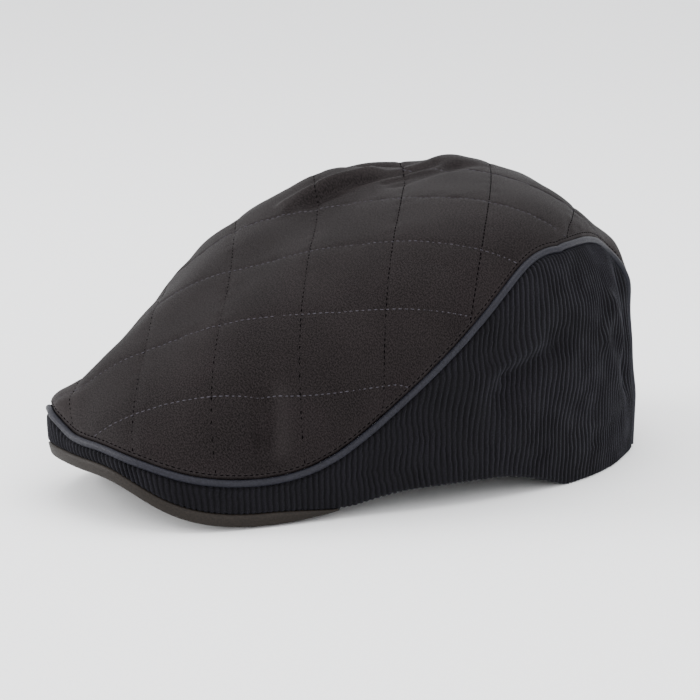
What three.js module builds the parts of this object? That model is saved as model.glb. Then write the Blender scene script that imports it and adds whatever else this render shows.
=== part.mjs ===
// A waxed flat cap: a quilted top panel that runs down the centre back, a corduroy side band,
// a piped seam between them, and a stiff covered peak. Millimetres, +Z up, front towards -Y,
// the wearer's left towards +X. The origin is under the middle of the cap, where it rests.
import * as THREE from "three";

// Head opening and overall form
const HEAD_WIDTH = 166;
const HEAD_LENGTH = 206;
const CROWN_HEIGHT = 119;
const CROWN_TOP_BEHIND = 15;
const CROWN_TOP_SHARE = 0.97;
const CROWN_TILT = 0.17;

// Hem: arched over the peak and over each ear, pressed flat where it rests
const PEAK_ARCH = 23.7;
const PEAK_ARCH_HALF_DEG = 18.2;
const PEAK_ARCH_SHIFT_DEG = -3;
const EAR_ARCH = 15.1;
const EAR_ARCH_AT_DEG = 70;
const EAR_ARCH_HALF_DEG = 32.5;
const REST_PRESS = 6;

// Peak
const PEAK_REACH = 50;
const PEAK_HALF_DEG = 27.5;
const PEAK_SPAN_DEG = 39.5;
const PEAK_THICKNESS = 2.6;
const PEAK_SLOPE = 0.14;
const PEAK_LEDGE = 0.5;
const PEAK_INNER_MARGIN = 3;
const RIM_HEIGHT = 5.3;
const RIM_FULL_DEG = 28;
const RIM_END_DEG = 44;

// Seam between the top panel and the side band
const FRONT_BAND_HEIGHT = 17.5;
const SIDE_PANEL_RISE = 77.5;
const SEAM_RISES_FROM_DEG = 27.5;
const SEAM_TOP_DEG = 110;
const REAR_SEAM_DEG = 152;
const REAR_CORNER_DROP = 34.5;
const REAR_CORNER_POWER = 2.8;

// Cloth and piping
const TOP_WALL = 2;
const BAND_WALL = 2;
const PIPING_RADIUS = 1.4;
const PIPING_SINK = 0.6;
const PIPING_END_CLEARANCE = 0.8;
const CLEARANCE = 0.35;

// Fineness of the meshes
const FRONT_COLUMNS = 24;
const CORNER_COLUMNS = 9;
const TAIL_ROWS = 7;
const TAIL_COLUMNS = 10;
const TOP_ROWS = 14;
const BAND_ROWS = 9;
const PIPING_SIDES = 8;
const PEAK_RADIAL_STEPS = 4;

// Sections of the crown, one row each 22.5 degrees from the front round to the back. They are the
// control values of a cubic B-spline in direction. An "Out" entry is a share of the head oval's
// radius in that direction, an "Up" entry a share of CROWN_HEIGHT. The levels are the hem, the
// band just above it, the cheek, the shoulder and the roof.
const SECTION_COLUMNS = [
  "hemOut", "bandOut", "bandUp", "cheekOut", "cheekUp", "shoulderOut", "shoulderUp", "roofOut",
];
const SECTIONS = [
  [1.0, 1.09, 0.38, 0.82, 0.5, 0.7, 0.76, 0.4],
  [1.0, 1.05, 0.36, 0.91, 0.54, 0.78, 0.81, 0.44],
  [1.0, 1.04, 0.34, 1.03, 0.62, 0.92, 0.88, 0.5],
  [1.0, 1.04, 0.33, 1.1, 0.66, 1.04, 0.91, 0.56],
  [1.0, 1.04, 0.32, 1.11, 0.68, 1.11, 0.92, 0.6],
  [1.04, 1.06, 0.32, 1.12, 0.67, 1.09, 0.92, 0.6],
  [1.06, 1.07, 0.32, 1.11, 0.62, 1.01, 0.9, 0.54],
  [1.06, 1.07, 0.31, 1.1, 0.6, 0.97, 0.9, 0.5],
  [1.05, 1.07, 0.3, 1.09, 0.6, 0.95, 0.91, 0.5],
];

// How much of the peak's reach each level of the front follows
const FOLLOWS_PEAK = { hem: 1, band: 1, cheek: 0.4 };

// Folds and dents of the cloth, one row each, as straight soft ridges between two places. The
// places are shares of HEAD_WIDTH, HEAD_LENGTH and CROWN_HEIGHT. Width and depth are shares of
// CROWN_HEIGHT, and a negative depth is a hollow.
const FOLD_COLUMNS = ["name", "from", "to", "width", "depth"];
const FOLDS = [
  ["far crest hump", [-0.21, -0.04, 0.94], [-0.2, 0.07, 0.96], 0.1, 0.03],
  ["rear crest hump", [-0.09, 0.17, 0.98], [-0.03, 0.24, 0.98], 0.1, 0.026],
  ["crest ridge", [-0.14, -0.155, 0.88], [-0.12, 0.04, 0.96], 0.04, 0.018],
  ["crest crease", [-0.11, -0.13, 0.9], [-0.04, 0.14, 0.98], 0.034, -0.018],
  ["rear crest crease", [0.01, 0.01, 0.95], [0.03, 0.19, 0.98], 0.034, -0.012],
  ["front cheek dent", [0.28, -0.505, 0.4], [0.32, -0.5, 0.18], 0.05, -0.016],
  ["front cheek fold", [0.33, -0.455, 0.3], [0.34, -0.445, 0.22], 0.034, -0.01],
  ["ear crease", [0.52, -0.07, 0.36], [0.525, 0.075, 0.51], 0.05, -0.018],
  ["rear seam ridge", [0.45, 0.257, 0.59], [0.43, 0.32, 0.39], 0.04, 0.014],
  ["rear seam dimple", [0.43, 0.33, 0.38], [0.39, 0.37, 0.26], 0.05, -0.018],
];

const LOOKS = {
  top_panel: { color: 0x3c3837, roughness: 0.62, metalness: 0 },
  side_band: { color: 0x19181b, roughness: 0.92, metalness: 0 },
  piping: { color: 0x383842, roughness: 0.6, metalness: 0 },
  peak: { color: 0x3c342d, roughness: 0.7, metalness: 0 },
};

const DEG = Math.PI / 180;

// 1 in the middle, a half at the given distance, falling off to 0
function bell(distance, half) {
  return 1 / (1 + (distance / half) ** 4);
}

// 0 to 1 with level ends
function smoothStep(x) {
  const inside = Math.min(1, Math.max(0, x));
  return inside * inside * (3 - 2 * inside);
}

// Radius of the head's oval, by direction from the front
function headRadius(direction) {
  const across = Math.sin(direction) / (HEAD_WIDTH / 2);
  const along = Math.cos(direction) / (HEAD_LENGTH / 2);
  return 1 / Math.hypot(across, along);
}

function peakReach(direction) {
  return PEAK_REACH * bell(direction / DEG, PEAK_HALF_DEG);
}

// Height of the hem's edge above the surface that the cap rests on
function hemHeight(direction) {
  const degrees = direction / DEG;
  const overPeak = PEAK_ARCH * bell(degrees - PEAK_ARCH_SHIFT_DEG, PEAK_ARCH_HALF_DEG);
  const overEar = EAR_ARCH * bell(Math.abs(degrees) - EAR_ARCH_AT_DEG, EAR_ARCH_HALF_DEG);
  return Math.max(0, overPeak + overEar - REST_PRESS);
}

// One row of section values for a direction between -180 and 180 degrees
function sectionAt(direction) {
  const last = SECTIONS.length - 1;
  const place = (Math.abs(direction) / Math.PI) * last;
  const row = Math.min(last - 1, Math.floor(place));
  const f = place - row;
  const weights = [
    (1 - f) ** 3 / 6,
    (3 * f ** 3 - 6 * f ** 2 + 4) / 6,
    (-3 * f ** 3 + 3 * f ** 2 + 3 * f + 1) / 6,
    f ** 3 / 6,
  ];
  const rows = weights.map((_, i) => {
    const index = Math.abs(row - 1 + i);
    return SECTIONS[index > last ? 2 * last - index : index];
  });
  const values = {};
  SECTION_COLUMNS.forEach((name, column) => {
    values[name] = weights.reduce((sum, weight, i) => sum + weight * rows[i][column], 0);
  });
  return values;
}

// The direction brought between -180 and 180 degrees
function turned(direction) {
  return Math.atan2(Math.sin(direction), Math.cos(direction));
}

// The crown without its folds: share 0 is the hem and share 1 the top of the crown
function smoothCrown(anyDirection, share) {
  const direction = turned(anyDirection);
  const section = sectionAt(direction);
  const sin = Math.sin(direction);
  const cos = Math.cos(direction);
  const head = headRadius(direction);
  const reach = peakReach(direction);
  const at = (radius, up) => new THREE.Vector3(radius * sin, -radius * cos, up);
  const roof = head * section.roofOut;
  const top = CROWN_HEIGHT * CROWN_TOP_SHARE;
  const levels = [
    at(head * section.hemOut + reach * FOLLOWS_PEAK.hem, hemHeight(direction)),
    at(head * section.bandOut + reach * FOLLOWS_PEAK.band, CROWN_HEIGHT * section.bandUp),
    at(head * section.cheekOut + reach * FOLLOWS_PEAK.cheek, CROWN_HEIGHT * section.cheekUp),
    at(head * section.shoulderOut, CROWN_HEIGHT * section.shoulderUp),
    new THREE.Vector3(roof * sin, CROWN_TOP_BEHIND - roof * cos, top - CROWN_TILT * roof * cos),
    new THREE.Vector3(0, CROWN_TOP_BEHIND, top),
  ];
  const binomials = [1, 5, 10, 10, 5, 1];
  const point = new THREE.Vector3();
  levels.forEach((level, k) => {
    point.addScaledVector(level, binomials[k] * share ** k * (1 - share) ** (5 - k));
  });
  return point;
}

// The outward normal of a surface function at a place
function normalOf(surface, direction, share) {
  const step = 1e-3;
  const inner = Math.min(share, 1 - 2 * step);
  const round = surface(direction + step, inner).sub(surface(direction - step, inner));
  const upper = surface(direction, inner + step);
  const lower = surface(direction, Math.max(0, inner - step));
  return round.cross(upper.sub(lower)).normalize();
}

const FOLD_SCALE = new THREE.Vector3(HEAD_WIDTH, HEAD_LENGTH, CROWN_HEIGHT);
const FOLD_LINES = FOLDS.map((row) => {
  const fold = Object.fromEntries(FOLD_COLUMNS.map((column, i) => [column, row[i]]));
  const line = new THREE.Line3(
    new THREE.Vector3(...fold.from).multiply(FOLD_SCALE),
    new THREE.Vector3(...fold.to).multiply(FOLD_SCALE),
  );
  return { line, width: fold.width * CROWN_HEIGHT, depth: fold.depth * CROWN_HEIGHT };
});

// The crown's outer face with its folds
function crown(direction, share) {
  const point = smoothCrown(direction, share);
  const nearest = new THREE.Vector3();
  let lift = 0;
  for (const { line, width, depth } of FOLD_LINES) {
    line.closestPointToPoint(point, true, nearest);
    lift += depth * Math.exp(-((nearest.distanceTo(point) / width) ** 2));
  }
  return point.addScaledVector(normalOf(smoothCrown, direction, share), lift);
}

// The share at which the crown reaches a height, found by halving
function shareAtHeight(direction, height) {
  let low = 0;
  let high = 0.8;
  for (let i = 0; i < 30; i += 1) {
    const middle = (low + high) / 2;
    if (smoothCrown(direction, middle).z < height) low = middle;
    else high = middle;
  }
  return (low + high) / 2;
}

function seamHeight(direction) {
  const degrees = Math.abs(direction) / DEG;
  const along = (degrees - SEAM_RISES_FROM_DEG) / (SEAM_TOP_DEG - SEAM_RISES_FROM_DEG);
  return hemHeight(direction) + FRONT_BAND_HEIGHT + SIDE_PANEL_RISE * smoothStep(along);
}

// One side's seam from the front to the foot of the rear seam, as directions and shares.
// The side is 1 for the wearer's left and -1 for the right.
function seamLine(side) {
  const line = [];
  for (let i = 0; i <= FRONT_COLUMNS; i += 1) {
    const direction = (side * i * SEAM_TOP_DEG * DEG) / FRONT_COLUMNS;
    line.push({ direction, share: shareAtHeight(direction, seamHeight(direction)) });
  }
  const topHeight = seamHeight(side * SEAM_TOP_DEG * DEG);
  for (let i = 1; i <= CORNER_COLUMNS; i += 1) {
    const angle = (i / CORNER_COLUMNS) * (Math.PI / 2);
    const along = Math.sin(angle) ** (2 / REAR_CORNER_POWER);
    const down = 1 - Math.cos(angle) ** (2 / REAR_CORNER_POWER);
    const direction = side * (SEAM_TOP_DEG + (REAR_SEAM_DEG - SEAM_TOP_DEG) * along) * DEG;
    line.push({ direction, share: shareAtHeight(direction, topHeight - REAR_CORNER_DROP * down) });
  }
  const corner = line[line.length - 1];
  for (let i = 1; i <= TAIL_ROWS; i += 1) {
    line.push({ direction: corner.direction, share: corner.share * (1 - i / TAIL_ROWS) });
  }
  return line;
}

// A seam line moved sideways along the cloth: a positive distance goes towards the top panel
function movedSeam(line, side, distance) {
  return line.map((place, i) => {
    const before = line[Math.max(0, i - 1)];
    const after = line[Math.min(line.length - 1, i + 1)];
    const step = 1e-3;
    const low = Math.max(0, place.share - step);
    const round = crown(place.direction + step, place.share)
      .distanceTo(crown(place.direction - step, place.share)) / (2 * step);
    const rise = crown(place.direction, place.share + step)
      .distanceTo(crown(place.direction, low)) / (place.share + step - low);
    const across = side * (after.direction - before.direction) * round;
    const up = (after.share - before.share) * rise;
    const length = Math.hypot(across, up);
    return {
      direction: place.direction - (side * distance * up) / length / round,
      share: Math.max(0, place.share + (distance * across) / length / rise),
    };
  });
}

const SEAM_HALF_GAP = PIPING_RADIUS + CLEARANCE;
const SEAMS = [1, -1].map((side) => ({ side, line: seamLine(side) }));

// A closed solid from a sheet of faces: a second sheet is laid below it and the edges joined
function wallOf(places, faces, thickness) {
  const outer = places.map(({ direction, share }) => crown(direction, share));
  const inner = places.map(({ direction, share, level }, i) => {
    const normal = normalOf(crown, direction, share);
    if (level) normal.setZ(0).normalize();
    return outer[i].clone().addScaledVector(normal, -thickness);
  });
  const count = places.length;
  const edges = new Map();
  const index = [];
  for (const [a, b, c] of faces) {
    index.push(a, b, c, a + count, c + count, b + count);
    for (const [from, to] of [[a, b], [b, c], [c, a]]) {
      if (!edges.delete(`${to} ${from}`)) edges.set(`${from} ${to}`, [from, to]);
    }
  }
  for (const [from, to] of edges.values()) {
    index.push(to, from, from + count, to, from + count, to + count);
  }
  return solidFrom([...outer, ...inner], index);
}

function solidFrom(points, index) {
  const geometry = new THREE.BufferGeometry();
  geometry.setFromPoints(points);
  geometry.setIndex(index);
  geometry.computeVertexNormals();
  return geometry;
}

// Two triangles for the square between two rows of vertex numbers
function squares(lowRow, highRow) {
  const faces = [];
  for (let i = 0; i + 1 < lowRow.length; i += 1) {
    faces.push([lowRow[i], lowRow[i + 1], highRow[i + 1]]);
    faces.push([lowRow[i], highRow[i + 1], highRow[i]]);
  }
  return faces;
}

// The quilted panel: a dome from the seam to the top of the crown, and a strip down the back
function topPanel() {
  const places = [];
  const add = (place) => places.push(place) - 1;
  const [left, right] = SEAMS.map(({ side, line }) => movedSeam(line, side, SEAM_HALF_GAP));
  const cornerAt = FRONT_COLUMNS + CORNER_COLUMNS;
  const tail = [];
  for (let row = 0; row <= TAIL_ROWS; row += 1) {
    const from = left[cornerAt + row];
    const to = right[cornerAt + row];
    const sweep = 2 * Math.PI + to.direction - from.direction;
    const level = row === TAIL_ROWS;
    tail.push(
      Array.from({ length: TAIL_COLUMNS + 1 }, (_, i) => {
        const along = i / TAIL_COLUMNS;
        const share = from.share + (to.share - from.share) * along;
        return { direction: from.direction + sweep * along, share, level };
      }),
    );
  }
  const rim = [
    ...left.slice(0, cornerAt),
    ...tail[0],
    ...right.slice(1, cornerAt).reverse(),
  ];
  const rimRow = rim.map(add);
  let lower = rimRow;
  const faces = [];
  const around = (row) => [...row, row[0]];
  for (let level = 1; level < TOP_ROWS; level += 1) {
    const along = level / TOP_ROWS;
    const upper = rim.map(({ direction, share }, i) => {
      const spread = turned((2 * Math.PI * i) / rim.length - direction) * smoothStep(along);
      return add({ direction: direction + spread, share: share + (1 - share) * along });
    });
    faces.push(...squares(around(lower), around(upper)));
    lower = upper;
  }
  const top = add({ direction: 0, share: 1 });
  around(lower).slice(1).forEach((to, i) => faces.push([lower[i], to, top]));
  let above = rimRow.slice(cornerAt, cornerAt + TAIL_COLUMNS + 1);
  for (const row of tail.slice(1)) {
    const below = row.map(add);
    faces.push(...squares(below, above));
    above = below;
  }
  return wallOf(places, faces, TOP_WALL);
}

// Height of the peak's rim left showing below the band
function rimShowing(direction) {
  const along = (Math.abs(direction) / DEG - RIM_FULL_DEG) / (RIM_END_DEG - RIM_FULL_DEG);
  return RIM_HEIGHT * (1 - smoothStep(along));
}

// The band's upper edge, from the right rear corner round the front to the left one
function bandEdge() {
  const [left, right] = SEAMS.map(({ side, line }) => movedSeam(line, side, -SEAM_HALF_GAP));
  const columns = FRONT_COLUMNS + CORNER_COLUMNS;
  return [...right.slice(1, columns + 1).reverse(), ...left.slice(0, columns + 1)];
}

// The corduroy band: low round the front, high at each side, ending at the rear seams
function sideBand() {
  const upperEdge = bandEdge();
  const places = [];
  const rows = [];
  for (let row = 0; row <= BAND_ROWS; row += 1) {
    const along = row / BAND_ROWS;
    rows.push(
      upperEdge.map(({ direction, share }) => {
        const rim = rimShowing(direction);
        const low = rim > 0 ? shareAtHeight(direction, hemHeight(direction) + rim) : 0;
        const level = row === 0;
        return places.push({ direction, share: low + (share - low) * along, level }) - 1;
      }),
    );
  }
  const faces = rows.slice(1).flatMap((row, i) => squares(rows[i], row));
  return wallOf(places, faces, BAND_WALL);
}

// The piping: a round bead laid in the seam, from one rear hem round the front to the other
function piping() {
  const [left, right] = SEAMS.map(({ line }) => line);
  const path = [...right.slice(1).reverse(), ...left];
  const centres = path.map(({ direction, share }) => {
    const point = crown(direction, share);
    point.addScaledVector(normalOf(crown, direction, share), -PIPING_SINK);
    point.z = Math.max(point.z, PIPING_END_CLEARANCE);
    return point;
  });
  const points = [];
  centres.forEach((centre, i) => {
    const before = centres[Math.max(0, i - 1)];
    const after = centres[Math.min(centres.length - 1, i + 1)];
    const along = after.clone().sub(before).normalize();
    const { direction, share } = path[i];
    const across = normalOf(crown, direction, share).cross(along).normalize();
    const out = along.clone().cross(across);
    for (let k = 0; k < PIPING_SIDES; k += 1) {
      const angle = ((k + 0.5) / PIPING_SIDES) * 2 * Math.PI;
      points.push(
        centre
          .clone()
          .addScaledVector(across, PIPING_RADIUS * Math.cos(angle))
          .addScaledVector(out, PIPING_RADIUS * Math.sin(angle)),
      );
    }
  });
  return solidFrom(points, tubeIndex(centres.length, PIPING_SIDES));
}

// Faces of a tube whose rings follow one another, with a flat end at each ring outside
function tubeIndex(rings, sides) {
  const index = [];
  for (let i = 0; i + 1 < rings; i += 1) {
    for (let k = 0; k < sides; k += 1) {
      const here = i * sides + k;
      const next = i * sides + ((k + 1) % sides);
      index.push(here, next, next + sides, here, next + sides, here + sides);
    }
  }
  const last = (rings - 1) * sides;
  for (let k = 1; k + 1 < sides; k += 1) {
    index.push(0, k + 1, k, last, last + k, last + k + 1);
  }
  return index;
}

// The peak: a stiff crescent under the front, with its rim left showing below the band
function peak() {
  const points = [];
  const columns = bandEdge().filter(({ direction }) => Math.abs(direction) < PEAK_SPAN_DEG * DEG);
  for (const { direction } of columns) {
    const hem = hemHeight(direction);
    const rimTop = hem + rimShowing(direction) - CLEARANCE;
    const share = shareAtHeight(direction, rimTop);
    const inward = normalOf(crown, direction, share).setZ(0).setLength(-1);
    const edgeAt = (height, depth) =>
      crown(direction, shareAtHeight(direction, height)).addScaledVector(inward, depth).setZ(height);
    const shelfDepth = PEAK_LEDGE + BAND_WALL + CLEARANCE;
    const shelfUnder = edgeAt(rimTop, shelfDepth).setZ(hem);
    const shelfOver = edgeAt(rimTop, shelfDepth);
    const inner = headRadius(direction) - PEAK_INNER_MARGIN;
    const innerUnder = new THREE.Vector3(inner * Math.sin(direction), -inner * Math.cos(direction));
    innerUnder.z = hem + PEAK_SLOPE * peakReach(direction);
    const innerOver = innerUnder.clone().setZ(innerUnder.z + PEAK_THICKNESS);
    const under = [];
    const over = [];
    for (let k = 0; k <= PEAK_RADIAL_STEPS; k += 1) {
      const along = k / PEAK_RADIAL_STEPS;
      under.push(shelfUnder.clone().lerp(innerUnder, along));
      over.unshift(shelfOver.clone().lerp(innerOver, along));
    }
    points.push(edgeAt(hem, PEAK_LEDGE), ...under, ...over, edgeAt(rimTop, PEAK_LEDGE));
  }
  return solidFrom(points, tubeIndex(columns.length, points.length / columns.length));
}

function meshOf(name, geometry) {
  const mesh = new THREE.Mesh(geometry, new THREE.MeshStandardMaterial(LOOKS[name]));
  mesh.name = name;
  return mesh;
}

const pieces = new THREE.Group();
pieces.add(meshOf("top_panel", topPanel()));
pieces.add(meshOf("side_band", sideBand()));
pieces.add(meshOf("piping", piping()));
pieces.add(meshOf("peak", peak()));

const extent = new THREE.Box3().setFromObject(pieces);
const middle = extent.getCenter(new THREE.Vector3());
pieces.position.set(-middle.x, -middle.y, -extent.min.z);

const cap = new THREE.Group();
cap.add(pieces);
export default cap;
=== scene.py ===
"""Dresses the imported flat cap: its cloth pieces, stitches, finishes, light and camera."""

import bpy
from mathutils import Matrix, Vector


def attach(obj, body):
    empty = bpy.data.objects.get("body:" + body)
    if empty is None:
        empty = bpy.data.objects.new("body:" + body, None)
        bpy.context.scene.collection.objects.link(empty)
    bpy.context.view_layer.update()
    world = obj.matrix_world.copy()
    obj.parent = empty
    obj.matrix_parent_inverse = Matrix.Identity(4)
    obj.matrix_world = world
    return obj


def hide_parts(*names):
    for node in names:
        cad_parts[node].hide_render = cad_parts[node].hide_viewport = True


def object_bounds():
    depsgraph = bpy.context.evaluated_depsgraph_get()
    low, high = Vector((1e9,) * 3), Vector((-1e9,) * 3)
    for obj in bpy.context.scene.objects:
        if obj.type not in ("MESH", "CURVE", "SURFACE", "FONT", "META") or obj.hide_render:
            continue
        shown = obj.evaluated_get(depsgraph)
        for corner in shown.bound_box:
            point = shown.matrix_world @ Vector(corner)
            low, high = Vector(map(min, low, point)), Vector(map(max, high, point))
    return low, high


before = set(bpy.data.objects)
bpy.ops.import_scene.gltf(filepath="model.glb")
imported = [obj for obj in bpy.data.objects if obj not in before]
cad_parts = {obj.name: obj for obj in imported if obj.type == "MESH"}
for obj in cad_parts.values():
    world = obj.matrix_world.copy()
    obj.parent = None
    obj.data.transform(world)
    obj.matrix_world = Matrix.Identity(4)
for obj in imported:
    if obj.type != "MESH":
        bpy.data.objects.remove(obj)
CAD_BOUNDS = [list(corner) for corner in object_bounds()]

import logging
import math
from dataclasses import dataclass, field
from enum import Enum
from typing import Callable, NamedTuple

import bpy
import numpy as np
from mathutils import Vector
from mathutils.kdtree import KDTree

LOG = logging.getLogger("flat_cap")
MM = 0.001
DEG = math.pi / 180
BODY = "root"
UV_NAME = "cloth"
# Marks how far the top panel is painted paler: wear at its edge, and wear with painted highlight on
# raised folds.
WEAR_AND_HIGHLIGHT_MARK = "wear_and_highlight"
# Marks the corduroy's ribs, 0 in the grooves to 1 on the ridges, by which shade is painted in the
# grooves and sheen on the ridges.
RIB_SHADE_AND_SHEEN_MARK = "ridge"
NORMAL_MARK = "cloth_normal"
# The small step by which slopes are taken, in radians or in shares.
STEP = 1e-3
# The least length that a vector is divided by.
TINY = 1e-12


class Side(Enum):
    """The wearer's two sides, as the sign of X."""

    LEFT = 1
    RIGHT = -1


class Section(NamedTuple):
    """One section of the crown: shares of the head's radius (out) and of its height (up)."""

    hem_out: float
    band_out: float
    band_up: float
    cheek_out: float
    cheek_up: float
    shoulder_out: float
    shoulder_up: float
    roof_out: float


class Fold(NamedTuple):
    """A soft ridge (or hollow, if depth is negative) between two places of the cloth.

    Places are shares of the head's width, its length and the crown's height. Width and depth
    are shares of the crown's height.
    """

    name: str
    start: tuple[float, float, float]
    end: tuple[float, float, float]
    width: float
    depth: float


SECTIONS = (
    Section(1.0, 1.09, 0.38, 0.82, 0.5, 0.7, 0.76, 0.4),
    Section(1.0, 1.05, 0.36, 0.91, 0.54, 0.78, 0.81, 0.44),
    Section(1.0, 1.04, 0.34, 1.03, 0.62, 0.92, 0.88, 0.5),
    Section(1.0, 1.04, 0.33, 1.1, 0.66, 1.04, 0.91, 0.56),
    Section(1.0, 1.04, 0.32, 1.11, 0.68, 1.11, 0.92, 0.6),
    Section(1.04, 1.06, 0.32, 1.12, 0.67, 1.09, 0.92, 0.6),
    Section(1.06, 1.07, 0.32, 1.11, 0.62, 1.01, 0.9, 0.54),
    Section(1.06, 1.07, 0.31, 1.1, 0.6, 0.97, 0.9, 0.5),
    Section(1.05, 1.07, 0.3, 1.09, 0.6, 0.95, 0.91, 0.5),
)

MAIN_FOLDS = (
    Fold("far crest hump", (-0.21, -0.04, 0.94), (-0.2, 0.07, 0.96), 0.1, 0.03),
    Fold("rear crest hump", (-0.09, 0.17, 0.98), (-0.03, 0.24, 0.98), 0.1, 0.026),
    Fold("crest ridge", (-0.14, -0.155, 0.88), (-0.12, 0.04, 0.96), 0.04, 0.018),
    Fold("crest crease", (-0.11, -0.13, 0.9), (-0.04, 0.14, 0.98), 0.034, -0.018),
    Fold("rear crest crease", (0.01, 0.01, 0.95), (0.03, 0.19, 0.98), 0.034, -0.012),
    Fold("front cheek dent", (0.28, -0.505, 0.4), (0.32, -0.5, 0.18), 0.05, -0.016),
    Fold("front cheek fold", (0.33, -0.455, 0.3), (0.34, -0.445, 0.22), 0.034, -0.01),
    Fold("ear crease", (0.52, -0.07, 0.36), (0.525, 0.075, 0.51), 0.05, -0.018),
    Fold("rear seam ridge", (0.45, 0.257, 0.59), (0.43, 0.32, 0.39), 0.04, 0.014),
    Fold("rear seam dimple", (0.43, 0.33, 0.38), (0.39, 0.37, 0.26), 0.05, -0.018),
)

FINE_FOLDS = (
    Fold("right brow", (-0.15, -0.7, 0.3), (-0.28, -0.645, 0.3), 0.07, 0.04),
    Fold("right front slope", (-0.23, -0.587, 0.411), (-0.235, -0.5, 0.505), 0.08, -0.015),
    Fold("right shoulder", (-0.32, -0.35, 0.61), (-0.33, -0.33, 0.63), 0.08, 0.011),
    Fold("far shoulder hollow", (-0.37, -0.17, 0.79), (-0.355, -0.07, 0.865), 0.09, -0.021),
    Fold("far crest notch", (-0.22, 0.065, 0.977), (-0.13, 0.155, 0.985), 0.065, -0.032),
    Fold("rear crest slope", (-0.02, 0.25, 1.0), (0.01, 0.275, 0.985), 0.06, -0.02),
    Fold("rear top slope", (0.13, 0.345, 0.9), (0.2, 0.365, 0.84), 0.08, -0.026),
    Fold("rear seam corner", (0.28, 0.4, 0.7), (0.3, 0.41, 0.6), 0.08, 0.029),
    Fold("rear seam hollow", (0.375, 0.37, 0.64), (0.39, 0.365, 0.3), 0.055, -0.022),
    Fold("rear hem swell", (0.335, 0.414, 0.17), (0.335, 0.412, 0.03), 0.09, 0.013),
    Fold("right hem tuck", (-0.2, -0.7, 0.12), (-0.3, -0.6, 0.1), 0.06, -0.018),
    Fold("far crest dip", (-0.205, 0.08, 0.98), (-0.18, 0.115, 0.985), 0.045, -0.025),
    Fold("crest ridge edge", (-0.176, -0.15, 0.88), (-0.102, 0.022, 0.966), 0.026, 0.014),
    Fold("crest ridge end", (-0.102, 0.022, 0.966), (-0.055, 0.135, 0.98), 0.026, 0.009),
    Fold("crest ridge groove", (-0.128, -0.165, 0.879), (-0.093, 0.018, 0.955), 0.022, -0.015),
    Fold("second crest edge", (-0.094, -0.048, 0.917), (0.0, 0.13, 0.98), 0.026, 0.01),
    Fold("second crest groove", (-0.03, 0.01, 0.945), (0.012, 0.17, 0.986), 0.022, -0.01),
    Fold("front cheek core", (0.29, -0.5, 0.4), (0.322, -0.52, 0.28), 0.03, -0.015),
    Fold("front cheek ridge", (0.31, -0.47, 0.41), (0.345, -0.49, 0.25), 0.035, 0.009),
    Fold("front cheek kink", (0.322, -0.52, 0.28), (0.335, -0.53, 0.19), 0.024, -0.009),
    Fold("ear crease core", (0.516, -0.06, 0.42), (0.514, 0.067, 0.483), 0.018, -0.02),
    Fold("ear crease lip", (0.519, -0.08, 0.455), (0.52, 0.02, 0.512), 0.03, 0.009),
    Fold("rear ridge edge", (0.455, 0.272, 0.58), (0.481, 0.226, 0.464), 0.034, 0.01),
    Fold("rear ridge tail", (0.481, 0.226, 0.464), (0.447, 0.292, 0.306), 0.034, 0.008),
    Fold("rear low fold", (0.49, 0.2, 0.13), (0.43, 0.312, 0.15), 0.03, -0.009),
)


def bell(distance: np.ndarray, half: float) -> np.ndarray:
    """1 in the middle, a half at the given distance, falling off to 0."""
    return 1 / (1 + (distance / half) ** 4)


def smooth_step(x: np.ndarray) -> np.ndarray:
    """0 to 1 with level ends."""
    inside = np.clip(x, 0, 1)
    return inside * inside * (3 - 2 * inside)


def turned(direction: np.ndarray) -> np.ndarray:
    """The direction brought between -180 and 180 degrees, in radians."""
    return (direction + np.pi) % (2 * np.pi) - np.pi


def lengths(vectors: np.ndarray) -> np.ndarray:
    """The length of each vector in the last axis."""
    return np.linalg.norm(vectors, axis=-1)


def level(vectors: np.ndarray) -> np.ndarray:
    """The vectors laid level, each with length 1."""
    flat = vectors * (1, 1, 0)
    return flat / lengths(flat)[..., None]


def waves(seed: int, places: np.ndarray, size: float, count: int = 14) -> np.ndarray:
    """A smooth random height between about -1 and 1, the sum of plane waves.

    Args:
        seed: The random seed.
        places: Points, in millimetres, in the last axis.
        size: The typical distance from one hump to the next, in millimetres.
        count: The number of waves.

    Returns:
        The height at each place.
    """
    draw = np.random.default_rng(seed)
    aim = draw.normal(size=(count, places.shape[-1]))
    aim /= np.linalg.norm(aim, axis=1)[:, None]
    pace = 2 * np.pi / (size * draw.uniform(0.7, 1.5, count))
    phase = draw.uniform(0, 2 * np.pi, count)
    total = sum(np.sin(places @ (a * p) + f) for a, p, f in zip(aim, pace, phase))
    usual_peak = 1.6 / math.sqrt(2 / count)
    return total / usual_peak


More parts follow.
